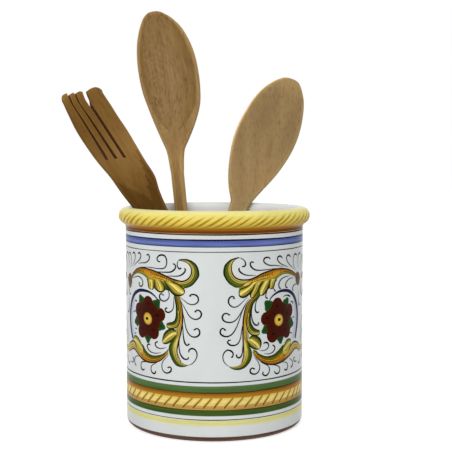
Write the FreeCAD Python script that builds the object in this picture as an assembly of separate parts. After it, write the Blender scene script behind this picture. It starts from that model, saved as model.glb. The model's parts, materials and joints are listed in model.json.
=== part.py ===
import FreeCAD, Part
import math
import os

os.makedirs("parts", exist_ok=True)

# Crock
body_diameter = 155.5
crock_height = 189.9
wall_thickness = 6.75
floor_thickness = 8.0
foot_rounding = 6.2
floor_rounding = 5.0
rim_overhang = 6.0
roll_radius = 7.4
cove_radius = 3.0

# Seat of the utensils: gap left under each foot and at the rim
seat_clearance = 0.3
seat_tolerance = 0.005
seat_steps = 20

# Spoon
spoon_length = 361.9
spoon_head_length = 133.3
spoon_head_width = 60.0
spoon_head_thickness = 13.0
spoon_head_edge = 5.0
spoon_neck_width = 12.4
spoon_neck_thickness = 12.0
spoon_foot_width = 11.2
spoon_foot_thickness = 10.0
spoon_side_share = 0.66
spoon_dish_depth = 7.0
spoon_foot_x = -14.0
spoon_foot_y = 46.0
spoon_bearing = 118.6
spoon_twist = -8.0

# Fork
fork_length = 332.8
fork_head_length = 142.0
fork_head_width = 41.0
fork_head_thickness = 7.5
fork_head_edge = 5.0
fork_neck_width = 21.0
fork_neck_thickness = 12.0
fork_foot_width = 14.0
fork_foot_thickness = 10.0
fork_side_share = 0.6
fork_tip_bend = 5.0
fork_slot_width = 1.4
fork_slot_length = 70.0
fork_slot_slant = 3.5
fork_gap_spread = 1.0
fork_left_tine_width = 9.2
fork_second_tine_width = 5.4
fork_third_tine_width = 5.0
fork_second_tine_drop = 3.0
fork_third_tine_drop = 6.3
fork_right_tine_drop = 6.1
fork_outer_rounding = 6.5
fork_inner_rounding = 1.6
fork_gap_rounding = 3.6
fork_foot_x = 52.0
fork_foot_y = 0.0
fork_bearing = 170.0
fork_twist = 18.0

# Spatula
spatula_length = 330.2
spatula_head_length = 135.5
spatula_head_width = 60.0
spatula_head_thickness = 7.0
spatula_head_edge = 4.6
spatula_neck_width = 17.0
spatula_neck_thickness = 10.0
spatula_foot_width = 13.0
spatula_foot_thickness = 9.0
spatula_side_share = 0.62
spatula_foot_x = -46.0
spatula_foot_y = 14.0
spatula_bearing = 70.8
spatula_twist = -8.0

# Shares that the three utensils have in common
tip_thickness_share = 0.45
neck_blend_share = 0.25
tine_rounding_share = 0.45

# Handle outline: place along the handle, share of its full section
handle_shares = (
    (0.0, 0.62),
    (0.008, 0.84),
    (0.022, 0.98),
    (0.05, 1.0),
    (0.25, 1.0),
    (0.5, 1.0),
    (0.75, 1.0),
    (0.92, 1.0),
)

# Head outlines: place along the head, left and right shares of half the head's width
spoon_head_shares = (
    (0.02, 0.27, 0.3),
    (0.09, 0.37, 0.47),
    (0.2, 0.53, 0.73),
    (0.32, 0.69, 0.93),
    (0.44, 0.83, 0.99),
    (0.56, 0.9, 0.98),
    (0.68, 0.91, 0.91),
    (0.79, 0.86, 0.76),
    (0.88, 0.75, 0.55),
    (0.95, 0.6, 0.28),
    (0.985, 0.5, 0.1),
    (1.0, 0.39, -0.04),
)
fork_head_shares = (
    (0.05, 0.56, 0.59),
    (0.19, 0.69, 0.73),
    (0.29, 0.78, 0.89),
    (0.41, 0.83, 0.88),
    (0.53, 0.94, 0.89),
    (0.65, 1.0, 0.9),
    (0.78, 1.05, 0.87),
    (0.9, 0.95, 0.865),
    (0.96, 0.9, 0.855),
    (1.0, 0.85, 0.87),
)
spatula_head_shares = (
    (0.02, 0.31, 0.29),
    (0.09, 0.48, 0.38),
    (0.18, 0.66, 0.54),
    (0.3, 0.82, 0.75),
    (0.43, 0.935, 0.905),
    (0.55, 0.955, 0.975),
    (0.66, 0.905, 0.965),
    (0.77, 0.8, 0.885),
    (0.87, 0.62, 0.75),
    (0.945, 0.37, 0.56),
    (0.985, 0.16, 0.4),
    (1.0, 0.0, 0.25),
)

# Dish of the spoon: place along the head, left and right shares of half its width, depth share
spoon_dish_shares = (
    (0.16, 0.06, 0.2, 0.05),
    (0.21, 0.28, 0.43, 0.32),
    (0.29, 0.49, 0.72, 0.74),
    (0.42, 0.69, 0.87, 1.0),
    (0.56, 0.79, 0.87, 1.0),
    (0.7, 0.8, 0.76, 0.94),
    (0.82, 0.71, 0.58, 0.72),
    (0.9, 0.61, 0.38, 0.44),
    (0.95, 0.5, 0.15, 0.2),
    (0.975, 0.4, 0.0, 0.07),
)

up = FreeCAD.Vector(0, 0, 1)
to_back = FreeCAD.Vector(0, 1, 0)
middle = FreeCAD.Vector(0, 0, 0)
right_angle = math.pi / 2

body_radius = body_diameter / 2
inner_radius = body_radius - wall_thickness
roll_centre = body_radius + rim_overhang - roll_radius
roll_height = crock_height - roll_radius
lip_radius = roll_centre - inner_radius
lip_height = crock_height - lip_radius


def mix(first, last, share):
    return first + (last - first) * share


def flat_point(across, height):
    return FreeCAD.Vector(across, 0, height)


def flat_line(across, height, end_across, end_height):
    return Part.makeLine(flat_point(across, height), flat_point(end_across, end_height))


def flat_arc(across, height, radius, start, end):
    # Arc about a centre in the upright plane, between two angles in radians
    points = []
    for angle in (start, (start + end) / 2, end):
        points.append(flat_point(across + radius * math.cos(angle), height + radius * math.sin(angle)))
    return Part.Arc(*points).toShape()


def make_crock():
    # Half profile, turned about the upright axis
    cove_centre = body_radius + cove_radius
    cove_height = roll_height - math.sqrt((roll_radius + cove_radius) ** 2 - (cove_centre - roll_centre) ** 2)
    meeting = math.atan2(roll_height - cove_height, roll_centre - cove_centre)
    base_edge = body_radius - foot_rounding
    floor_edge = inner_radius - floor_rounding
    floor_bend = floor_thickness + floor_rounding
    profile = Part.Wire([
        flat_line(0, 0, base_edge, 0),
        flat_arc(base_edge, foot_rounding, foot_rounding, -right_angle, 0),
        flat_line(body_radius, foot_rounding, body_radius, cove_height),
        flat_arc(cove_centre, cove_height, cove_radius, math.pi, meeting),
        flat_arc(roll_centre, roll_height, roll_radius, meeting - math.pi, right_angle),
        flat_arc(roll_centre, lip_height, lip_radius, right_angle, math.pi),
        flat_line(inner_radius, lip_height, inner_radius, floor_bend),
        flat_arc(floor_edge, floor_bend, floor_rounding, 0, -right_angle),
        flat_line(floor_edge, floor_thickness, 0, floor_thickness),
        flat_line(0, floor_thickness, 0, 0),
    ])
    return Part.Face(profile).revolve(middle, up, math.degrees(2 * math.pi))


def cross_section(station, left, right, front, thickness, edge):
    # Closed outline across a utensil: flat front, round sides, crowned back
    side = edge / 2
    front_left = FreeCAD.Vector(side - left, front, station)
    front_right = FreeCAD.Vector(right - side, front, station)
    back_left = FreeCAD.Vector(side - left, front + edge, station)
    back_right = FreeCAD.Vector(right - side, front + edge, station)
    left_end = FreeCAD.Vector(-left, front + side, station)
    right_end = FreeCAD.Vector(right, front + side, station)
    crown = FreeCAD.Vector((right - left) / 2, front + thickness, station)
    return Part.Wire([
        Part.makeLine(front_left, front_right),
        Part.Arc(front_right, right_end, back_right).toShape(),
        Part.Arc(back_right, crown, back_left).toShape(),
        Part.Arc(back_left, left_end, front_left).toShape(),
    ])


def handle_sections(length, foot_width, neck_width, foot_thickness, neck_thickness, side_share):
    # Tapers from the neck down to a rounded foot
    sections = []
    for place, full in handle_shares:
        half_width = mix(foot_width, neck_width, place) * full / 2
        thickness = mix(foot_thickness, neck_thickness, place) * full
        side = thickness * side_share
        front = -thickness / 2
        sections.append(cross_section(length * place, half_width, half_width, front, thickness, side))
    return sections


def head_sections(start, length, width, shares, thickness, edge, neck_thickness, side_share, tip_bend):
    # Widens from the neck into the head and thins toward the tip
    sections = []
    for place, left, right in shares:
        grown = min(place / neck_blend_share, 1)
        thinning = 1 - (1 - tip_thickness_share) * place ** 3
        depth = mix(neck_thickness, thickness, grown) * thinning
        side = mix(neck_thickness * side_share, edge, grown) * thinning
        front = -neck_thickness / 2 + tip_bend * place ** 8
        station = start + length * place
        sections.append(cross_section(station, left * width / 2, right * width / 2, front, depth, side))
    return sections


def make_spoon_blank():
    handle_length = spoon_length - spoon_head_length
    sections = handle_sections(
        handle_length, spoon_foot_width, spoon_neck_width,
        spoon_foot_thickness, spoon_neck_thickness, spoon_side_share)
    sections += head_sections(
        handle_length, spoon_head_length, spoon_head_width, spoon_head_shares,
        spoon_head_thickness, spoon_head_edge, spoon_neck_thickness, spoon_side_share, 0)
    return Part.makeLoft(sections, True)


def make_spoon_dish():
    # Hollow of the bowl, open to the front
    sections = []
    start = spoon_length - spoon_head_length
    front = -spoon_neck_thickness / 2
    above = front - spoon_head_thickness
    for place, left, right, deep in spoon_dish_shares:
        left_end = -left * spoon_head_width / 2
        right_end = right * spoon_head_width / 2
        station = start + spoon_head_length * place
        edge_left = FreeCAD.Vector(left_end, front, station)
        edge_right = FreeCAD.Vector(right_end, front, station)
        bottom = FreeCAD.Vector((left_end + right_end) / 2, front + deep * spoon_dish_depth, station)
        top_left = FreeCAD.Vector(left_end, above, station)
        top_right = FreeCAD.Vector(right_end, above, station)
        sections.append(Part.Wire([
            Part.Arc(edge_left, bottom, edge_right).toShape(),
            Part.makeLine(edge_right, top_right),
            Part.makeLine(top_right, top_left),
            Part.makeLine(top_left, edge_left),
        ]))
    return Part.makeLoft(sections, True)


def make_fork_blank():
    handle_length = fork_length - fork_head_length
    sections = handle_sections(
        handle_length, fork_foot_width, fork_neck_width,
        fork_foot_thickness, fork_neck_thickness, fork_side_share)
    sections += head_sections(
        handle_length, fork_head_length, fork_head_width, fork_head_shares,
        fork_head_thickness, fork_head_edge, fork_neck_thickness, fork_side_share, fork_tip_bend)
    return Part.makeLoft(sections, True)


def make_tine(tip_sides, root_sides, bottom, tip, roundings):
    # Block right through the fork from its root up to its tip, its two top corners rounded
    left, right = tip_sides
    root_left, root_right = root_sides
    most = (right - left) * tine_rounding_share
    left_bend, right_bend = (min(rounding, most) for rounding in roundings)
    outline = Part.Wire([
        flat_line(root_left, bottom, left, tip - left_bend),
        flat_arc(left + left_bend, tip - left_bend, left_bend, math.pi, right_angle),
        flat_line(left + left_bend, tip, right - right_bend, tip),
        flat_arc(right - right_bend, tip - right_bend, right_bend, right_angle, 0),
        flat_line(right, tip - right_bend, root_right, bottom),
        flat_line(root_right, bottom, root_left, bottom),
    ])
    face = Part.Face(outline)
    face.translate(to_back * -fork_head_width)
    return face.extrude(to_back * fork_head_width * 2)


def make_fork_outline():
    # Solid up to the slots, then four tines between slots that slant to the right going up
    slot_bottom = fork_length - fork_slot_length
    tip_left, tip_right = fork_head_shares[-1][1:]
    left_side = -tip_left * fork_head_width / 2
    right_side = tip_right * fork_head_width / 2
    first_slot = left_side + fork_left_tine_width
    second_tine = first_slot + fork_slot_width
    second_slot = second_tine + fork_second_tine_width
    third_tine = second_slot + fork_slot_width
    third_slot = third_tine + fork_third_tine_width
    right_tine = third_slot + fork_slot_width + fork_gap_spread
    tines = (
        ((left_side, first_slot), (-fork_head_width, first_slot - fork_slot_slant), 0,
         (fork_outer_rounding, fork_inner_rounding)),
        ((second_tine, second_slot), (second_tine - fork_slot_slant, second_slot - fork_slot_slant),
         fork_second_tine_drop, (fork_inner_rounding, fork_inner_rounding)),
        ((third_tine, third_slot),
         (third_tine - fork_slot_slant, third_slot - fork_slot_slant + fork_gap_spread),
         fork_third_tine_drop, (fork_inner_rounding, fork_gap_rounding)),
        ((right_tine, right_side), (right_tine - fork_slot_slant, fork_head_width),
         fork_right_tine_drop, (fork_gap_rounding, fork_outer_rounding)),
    )
    span = fork_head_width * 2
    corner = FreeCAD.Vector(-fork_head_width, -fork_head_width, -fork_head_width)
    outline = Part.makeBox(span, span, slot_bottom + fork_head_width, corner)
    root = slot_bottom - fork_slot_width
    for tip_sides, root_sides, drop, roundings in tines:
        outline = outline.fuse(make_tine(tip_sides, root_sides, root, fork_length - drop, roundings))
    return outline


def make_spatula():
    handle_length = spatula_length - spatula_head_length
    sections = handle_sections(
        handle_length, spatula_foot_width, spatula_neck_width,
        spatula_foot_thickness, spatula_neck_thickness, spatula_side_share)
    sections += head_sections(
        handle_length, spatula_head_length, spatula_head_width, spatula_head_shares,
        spatula_head_thickness, spatula_head_edge, spatula_neck_thickness, spatula_side_share, 0)
    return Part.makeLoft(sections, True)


def leaning(foot, reach, bearing, twist):
    # From a foot point, with the axis through a point at the height of the rim
    angle = math.radians(bearing)
    rim_point = FreeCAD.Vector(reach * math.cos(angle), reach * math.sin(angle), roll_height)
    axis = (rim_point - foot).normalize()
    across = to_back.cross(axis).normalize()
    turn = FreeCAD.Rotation(across, axis.cross(across), axis, "ZXY")
    return FreeCAD.Placement(foot, turn.multiply(FreeCAD.Rotation(up, twist)))


def seated(blank, foot_x, foot_y, bearing, twist):
    # Leans a utensil out until only the seat clearance is left at the floor and at the rim
    rim_lip = Part.makeTorus(roll_centre, lip_radius, FreeCAD.Vector(0, 0, lip_height))
    floor_rim = Part.makeCircle(inner_radius, FreeCAD.Vector(0, 0, floor_thickness))
    floor_disc = Part.Face(Part.Wire(floor_rim))
    reach = inner_radius / 2
    foot = FreeCAD.Vector(foot_x, foot_y, floor_thickness + roll_radius)
    trial = blank.copy()
    for step in range(seat_steps):
        trial.Placement = leaning(foot, reach, bearing, twist)
        rim_excess = trial.distToShape(rim_lip)[0] - seat_clearance
        floor_excess = trial.distToShape(floor_disc)[0] - seat_clearance
        if max(abs(rim_excess), abs(floor_excess)) < seat_tolerance:
            break
        reach += rim_excess
        foot.z -= floor_excess
    return trial.Placement


crock = make_crock()

spoon_blank = make_spoon_blank()
spoon = spoon_blank.cut(make_spoon_dish()).Solids[0]
spoon.Placement = seated(spoon_blank, spoon_foot_x, spoon_foot_y, spoon_bearing, spoon_twist)

fork_blank = make_fork_blank()
fork = fork_blank.common(make_fork_outline()).Solids[0]
fork.Placement = seated(fork_blank, fork_foot_x, fork_foot_y, fork_bearing, fork_twist)

spatula = make_spatula()
spatula.Placement = seated(spatula, spatula_foot_x, spatula_foot_y, spatula_bearing, spatula_twist)

crock.exportStep("parts/crock.step")
spoon.exportStep("parts/spoon.step")
fork.exportStep("parts/fork.step")
spatula.exportStep("parts/spatula.step")
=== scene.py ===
import bmesh
import bpy
import json
import math
import random
from mathutils import Matrix, Vector

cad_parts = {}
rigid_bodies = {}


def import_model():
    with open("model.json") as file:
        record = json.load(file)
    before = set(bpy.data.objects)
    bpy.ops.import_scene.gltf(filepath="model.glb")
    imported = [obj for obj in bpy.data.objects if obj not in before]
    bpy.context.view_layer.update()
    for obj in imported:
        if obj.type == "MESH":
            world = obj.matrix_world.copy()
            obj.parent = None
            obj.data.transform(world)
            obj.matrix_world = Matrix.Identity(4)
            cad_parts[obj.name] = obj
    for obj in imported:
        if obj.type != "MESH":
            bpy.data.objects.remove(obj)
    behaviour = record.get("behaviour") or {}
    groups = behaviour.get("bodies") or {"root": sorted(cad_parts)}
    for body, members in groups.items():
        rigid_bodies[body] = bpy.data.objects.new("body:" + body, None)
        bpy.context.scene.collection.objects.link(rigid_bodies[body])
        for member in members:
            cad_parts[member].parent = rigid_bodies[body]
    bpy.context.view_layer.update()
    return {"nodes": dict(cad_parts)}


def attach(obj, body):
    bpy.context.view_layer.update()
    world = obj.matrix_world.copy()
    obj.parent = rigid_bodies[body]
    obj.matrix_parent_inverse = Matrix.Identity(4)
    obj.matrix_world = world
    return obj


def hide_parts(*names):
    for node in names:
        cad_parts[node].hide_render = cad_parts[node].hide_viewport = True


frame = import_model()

mm = 0.001
print("frame loaded:", ", ".join(sorted(frame["nodes"])))


# Helpers for colours, tables and curves

def tone(code):
    # hex colour as seen, turned to linear light
    parts = [int(code[i:i + 2], 16) / 255 for i in (0, 2, 4)]
    return tuple(c / 12.92 if c <= 0.04045 else ((c + 0.055) / 1.055) ** 2.4 for c in parts)


def tones(codes):
    return [tone(code) for code in codes.split()]


def blend(a, b, share):
    return tuple(x + (y - x) * share for x, y in zip(a, b))


def ramp(value, low, high):
    # 0 at low, 1 at high, straight between
    return min(max((value - low) / (high - low), 0), 1)


def spread(stops, share):
    # value at a place across evenly spaced stops
    place = min(max(share, 0), 1) * (len(stops) - 1)
    first = min(int(place), len(stops) - 2)
    return blend(stops[first], stops[first + 1], place - first)


def hermite(a, b, slopeA, slopeB, share):
    # smooth from a to b, with the slopes given at both
    s2, s3 = share * share, share ** 3
    fromStart = (2 * s3 - 3 * s2 + 1) * a + (s3 - 2 * s2 + share) * slopeA
    return fromStart + (3 * s2 - 2 * s3) * b + (s3 - s2) * slopeB


def smoothTable(table, place):
    # every column of a table, smoothly between its rows
    last = len(table) - 1
    if place <= table[0][0]:
        return table[0][1:]
    if place >= table[last][0]:
        return table[last][1:]
    i = max(k for k in range(last) if table[k][0] <= place)
    span = table[i + 1][0] - table[i][0]
    before, after = max(i - 1, 0), min(i + 2, last)
    values = []
    for c in range(1, len(table[0])):
        slopeA = (table[i + 1][c] - table[before][c]) / (table[i + 1][0] - table[before][0]) * span
        slopeB = (table[after][c] - table[i][c]) / (table[after][0] - table[i][0]) * span
        values.append(hermite(table[i][c], table[i + 1][c], slopeA, slopeB, (place - table[i][0]) / span))
    return values


def curveThrough(points, step, count=0):
    # evenly spaced points on a smooth curve through given ones
    steps = 10  # between two placed points
    ends = [points[0]] + list(points) + [points[-1]]
    dense = []
    for i in range(1, len(ends) - 2):
        a, b, c, d = ends[i - 1:i + 3]
        slopes = [((c[n] - a[n]) / 2, (d[n] - b[n]) / 2) for n in (0, 1)]
        for k in range(steps):
            dense.append(tuple(hermite(b[n], c[n], *slopes[n], k / steps) for n in (0, 1)))
    dense.append(tuple(points[-1]))
    reach = [0]
    for p, q in zip(dense, dense[1:]):
        reach.append(reach[-1] + math.hypot(q[0] - p[0], q[1] - p[1]))
    count = count or max(int(reach[-1] / step), 4)
    even, k = [], 0
    for n in range(count):
        goal = reach[-1] * n / (count - 1)
        while k < len(reach) - 2 and reach[k + 1] < goal:
            k += 1
        share = (goal - reach[k]) / max(reach[k + 1] - reach[k], 1e-9)
        even.append(blend(dense[k], dense[k + 1], min(max(share, 0), 1)))
    return even


# Helpers for pieces

def makePiece(name, verts, faces, body, finishes, faceFinishes=None, place=None):
    # with a place, the points are in the piece's own frame and also carry the grain
    mesh = bpy.data.meshes.new(name)
    mesh.from_pydata([place @ Vector(v) for v in verts] if place else verts, [], faces)
    if place:
        grain = mesh.attributes.new("grain", "FLOAT_VECTOR", "POINT")
        grain.data.foreach_set("vector", [c for v in verts for c in v])
    for finish in finishes:
        mesh.materials.append(finish)
    if faceFinishes:
        mesh.polygons.foreach_set("material_index", faceFinishes)
    mesh.polygons.foreach_set("use_smooth", [True] * len(faces))
    mesh.update()
    piece = bpy.data.objects.new(name, mesh)
    bpy.context.scene.collection.objects.link(piece)
    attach(piece, body)
    return piece


def paintCorners(mesh, colours, name="paint"):
    layer = mesh.color_attributes.new(name, "FLOAT_COLOR", "CORNER")
    layer.data.foreach_set("color", [c for colour in colours for c in colour])


def mapCorners(mesh, places):
    layer = mesh.uv_layers.new(name="OFBake")
    layer.data.foreach_set("uv", [c for place in places for c in place])


# Helpers for finishes

def newFinish(name):
    finish = bpy.data.materials.new(name)
    finish.use_nodes = True
    tree = finish.node_tree
    tree.nodes.clear()
    out = tree.nodes.new("ShaderNodeOutputMaterial")
    shader = tree.nodes.new("ShaderNodeBsdfPrincipled")
    tree.links.new(shader.outputs["BSDF"], out.inputs["Surface"])
    return finish, tree, shader


def feed(tree, socket, value):
    if hasattr(value, "is_output"):
        tree.links.new(value, socket)
    else:
        socket.default_value = value


def addMapping(tree, coords, stretch, turn=(0, 0, 0), shift=(0, 0, 0)):
    node = tree.nodes.new("ShaderNodeMapping")
    node.inputs["Location"].default_value = shift
    node.inputs["Scale"].default_value = stretch
    node.inputs["Rotation"].default_value = turn
    tree.links.new(coords, node.inputs["Vector"])
    return node.outputs["Vector"]


def addNoise(tree, coords, scale, detail=3.0, rough=0.5):
    node = tree.nodes.new("ShaderNodeTexNoise")
    node.inputs["Scale"].default_value = scale
    node.inputs["Detail"].default_value = detail
    node.inputs["Roughness"].default_value = rough
    tree.links.new(coords, node.inputs["Vector"])
    return node.outputs["Fac"]


def addRange(tree, value, fromLow, fromHigh, toLow, toHigh):
    node = tree.nodes.new("ShaderNodeMapRange")
    for name, v in (("From Min", fromLow), ("From Max", fromHigh), ("To Min", toLow), ("To Max", toHigh)):
        node.inputs[name].default_value = v
    tree.links.new(value, node.inputs["Value"])
    return node.outputs["Result"]


def spanNoise(tree, noise, low, high):
    # nearly all of a noise lies between 0.3 and 0.7
    return addRange(tree, noise, 0.3, 0.7, low, high)


def addMix(tree, kind, amount, first, second):
    node = tree.nodes.new("ShaderNodeMix")
    node.data_type = "RGBA"
    node.blend_type = kind
    sockets = {s.identifier: s for s in node.inputs}
    feed(tree, sockets["Factor_Float"], amount)
    for key, value in (("A_Color", first), ("B_Color", second)):
        feed(tree, sockets[key], value if hasattr(value, "is_output") else (*value, 1))
    return [s for s in node.outputs if s.identifier == "Result_Color"][0]


def addMath(tree, kind, first, second):
    node = tree.nodes.new("ShaderNodeMath")
    node.operation = kind
    feed(tree, node.inputs[0], first)
    feed(tree, node.inputs[1], second)
    return node.outputs["Value"]


def addBump(tree, shader, height, strength, distance):
    node = tree.nodes.new("ShaderNodeBump")
    node.inputs["Strength"].default_value = strength
    node.inputs["Distance"].default_value = distance
    tree.links.new(height, node.inputs["Height"])
    tree.links.new(node.outputs["Normal"], shader.inputs["Normal"])


# Finishes of the crock

glazeLook = {
    "gloss": 0.2, "glossSpread": 0.08, "shine": 0.03, "ripple": 0.00012,
    "streak": 0.3, "cloud": 0.03, "speck": 0.05,
    # scales of the noise, with the streaks drawn out round the crock
    "streakScale": (30, 30, 1500), "cloudScale": 45.0, "speckScale": 900.0, "rippleScale": 60.0,
}


def glazeFinish(name):
    # colour from the "paint" layer, brush streaks as strong as its alpha
    look = glazeLook
    finish, tree, shader = newFinish(name)
    coords = tree.nodes.new("ShaderNodeTexCoord").outputs["Object"]
    paint = tree.nodes.new("ShaderNodeAttribute")
    paint.attribute_name = "paint"
    streak = addNoise(tree, addMapping(tree, coords, look["streakScale"]), 1.0, 4.0)
    cloud = addNoise(tree, coords, look["cloudScale"])
    speck = addNoise(tree, coords, look["speckScale"], 2.0)
    brush = spanNoise(tree, streak, -look["streak"], look["streak"])
    level = addMath(tree, "MULTIPLY", brush, paint.outputs["Alpha"])
    level = addMath(tree, "ADD", level, spanNoise(tree, cloud, 1 - look["cloud"], 1 + look["cloud"]))
    level = addMath(tree, "ADD", level, addRange(tree, speck, 0.66, 0.8, 0.0, -look["speck"]))
    grey = tree.nodes.new("ShaderNodeCombineColor")
    for channel in ("Red", "Green", "Blue"):
        tree.links.new(level, grey.inputs[channel])
    colour = addMix(tree, "MULTIPLY", 1.0, paint.outputs["Color"], grey.outputs["Color"])
    tree.links.new(colour, shader.inputs["Base Color"])
    gloss = spanNoise(tree, cloud, look["gloss"], look["gloss"] + look["glossSpread"])
    tree.links.new(gloss, shader.inputs["Roughness"])
    shader.inputs["Specular IOR Level"].default_value = look["shine"]
    addBump(tree, shader, addNoise(tree, coords, look["rippleScale"], 2.0), 0.25, look["ripple"])
    return finish


footLook = {
    "dark": "3c2218", "mid": "5a3a2c", "pale": "a08872", "shine": 0.2,
    "streakScale": (18, 18, 2200), "grainScale": 700.0,
    "paleFrom": 0.0034, "paleTo": 0.0016,  # heights in metres between which the pale streaks grow
}


def footFinish(name):
    # bare foot: dark slip with pale turning streaks, most of them near the floor
    look = footLook
    finish, tree, shader = newFinish(name)
    coords = tree.nodes.new("ShaderNodeTexCoord").outputs["Object"]
    streak = addNoise(tree, addMapping(tree, coords, look["streakScale"]), 1.0, 5.0, 0.65)
    grain = addNoise(tree, coords, look["grainScale"])
    dark, mid, pale = (tone(look[key]) for key in ("dark", "mid", "pale"))
    base = addMix(tree, "MIX", addRange(tree, streak, 0.35, 0.6, 0, 1), dark, mid)
    height = tree.nodes.new("ShaderNodeSeparateXYZ")
    tree.links.new(coords, height.inputs["Vector"])
    low = addRange(tree, height.outputs["Z"], look["paleFrom"], look["paleTo"], 0.15, 1)
    bare = addMath(tree, "MULTIPLY", addRange(tree, streak, 0.48, 0.62, 0, 0.85), low)
    colour = addMix(tree, "MIX", bare, base, pale)
    tree.links.new(colour, shader.inputs["Base Color"])
    tree.links.new(spanNoise(tree, grain, 0.55, 0.75), shader.inputs["Roughness"])
    shader.inputs["Specular IOR Level"].default_value = look["shine"]
    addBump(tree, shader, grain, 0.3, 0.0002)
    return finish


glaze = glazeFinish("paintedGlaze")
slip = footFinish("bareFoot")
print("crock finishes ready")


# Crock body: turned in rings, painted in bands

crock = {
    "radius": 77.75, "inner": 71.0, "height": 189.9, "floor": 8.0, "foot": 6.2, "corner": 5.0,
    "rimCentre": 76.35, "roll": 7.4, "lip": 5.35, "cove": 3.0, "footBand": 5.0, "wobble": 0.1,
    # the inside is the same white glaze, written paler as painted light on the inside
    "white": "d6dad9", "inside": "eceeef",
    # radii of rings near the middle of base and floor, then counts of rings and of points around
    "middle": (0.01, 24.0, 48.0), "rimRings": 60, "insideRings": 20, "around": 480,
    "bareRows": 8,  # rows of faces below the glaze, on base and foot
    # room on the texture sheet for painted and plain rows, and where on the roll the paint ends
    "paintedRoom": 2.2, "plainRoom": 0.5, "paintedTo": 110,
}
# top and bottom in millimetres, colours there, strength of brush streaks
bands = [
    (175.7, 173.7, "b07820", "8c5412", 0.6), (173.7, 171.7, "7a420c", "633607", 0.6),
    (171.7, 171.3, "a8845c", "b89a76", 0.5), (171.3, 170.2, "2c1c12", "2c1c12", 0.4),
    (167.0, 165.8, "14162a", "1e2246", 0.5), (165.8, 164.5, "4a5899", "5a68a8", 1.0),
    (164.5, 162.5, "606eab", "6b7ab9", 1.0), (162.5, 161.2, "6270b0", "52609a", 1.0),
    (161.2, 160.4, "333a60", "454b61", 0.6), (157.0, 156.2, "424641", "424641", 0.4),
    (50.5, 49.4, "222424", "2b2d2d", 0.4), (47.0, 46.4, "868c82", "56664a", 0.4),
    (46.4, 41.7, "53713d", "476132", 0.9), (41.7, 41.0, "2e2a0c", "4a2f08", 0.4),
    (41.0, 39.4, "82500f", "9c6618", 0.9), (39.4, 37.1, "a06a1c", "b8862c", 0.9),
    (37.1, 34.2, "dcc05a", "ecd680", 0.5), (34.2, 31.0, "ecd680", "e6d07a", 0.5),
    (31.0, 27.3, "bb9650", "b68d45", 0.9), (27.3, 26.6, "38380f", "33400f", 0.4),
    (26.6, 22.5, "435a26", "3c5222", 0.9), (22.5, 22.0, "4f6a3c", "cfd6cc", 0.3),
    (19.4, 18.7, "484a42", "484a42", 0.4),
    (18.3, 15.5, "dcd685", "d9d588", 0.3), (15.5, 12.9, "d9d588", "d9dbd2", 0.2),
]
# rolled rim: swing 0 is its outermost line, 90 its crest, with the colour there; the paleness towards the
# crest is partly a painted highlight
rimTones = [
    (-95, "a97a2c"), (-62, "bc9238"), (-35, "d8ba4a"), (-5, "e6ce5c"), (25, "e8d974"),
    (55, "e9df90"), (84, "e8e2ac"), (97, "e4e2c6"), (106, "e4e6e4"), (181, "eceeee"),
]
rimYellow = {"from": -94, "to": 95, "streak": 0.25}
rimRope = {
    "strands": 65, "low": -62.0, "high": 46.0, "slant": 21.2,
    "relief": 0.3, "sunk": 0.6, "swellIn": (-78, -54), "swellOut": (62, 26),
}


def wallPoint(along, height, lift=0.0):
    # on the outside of the wall, from millimetres along it and up it
    turn = along / crock["radius"]
    r = (crock["radius"] + lift) * mm
    return (r * math.sin(turn), -r * math.cos(turn), height * mm)


def rimTone(swing):
    i = max(n for n in range(len(rimTones) - 1) if rimTones[n][0] <= swing)
    share = (swing - rimTones[i][0]) / (rimTones[i + 1][0] - rimTones[i][0])
    return blend(tone(rimTones[i][1]), tone(rimTones[i + 1][1]), share)


def strandTurn(swing):
    # how far a rope groove has gone round by this place on the roll
    share = (swing - rimRope["low"]) / (rimRope["high"] - rimRope["low"])
    return share * rimRope["slant"] / (crock["rimCentre"] + crock["roll"])


def strandSwell(turn, swing):
    # shallow rope strands on the outer half of the roll
    fade = ramp(swing, *rimRope["swellIn"]) * ramp(swing, *rimRope["swellOut"])
    phase = rimRope["strands"] * (turn - strandTurn(swing))
    return rimRope["relief"] * fade * (0.5 - 0.5 * math.cos(phase) - rimRope["sunk"])


def rollPoint(turn, swing, lift=0.0):
    a = math.radians(swing)
    size = crock["roll"] if swing <= 90 else crock["lip"]
    reach = size + strandSwell(turn, swing) + lift
    r = (crock["rimCentre"] + reach * math.cos(a)) * mm
    z = (crock["height"] - size + reach * math.sin(a)) * mm
    return (r * math.sin(turn), -r * math.cos(turn), z)


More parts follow.
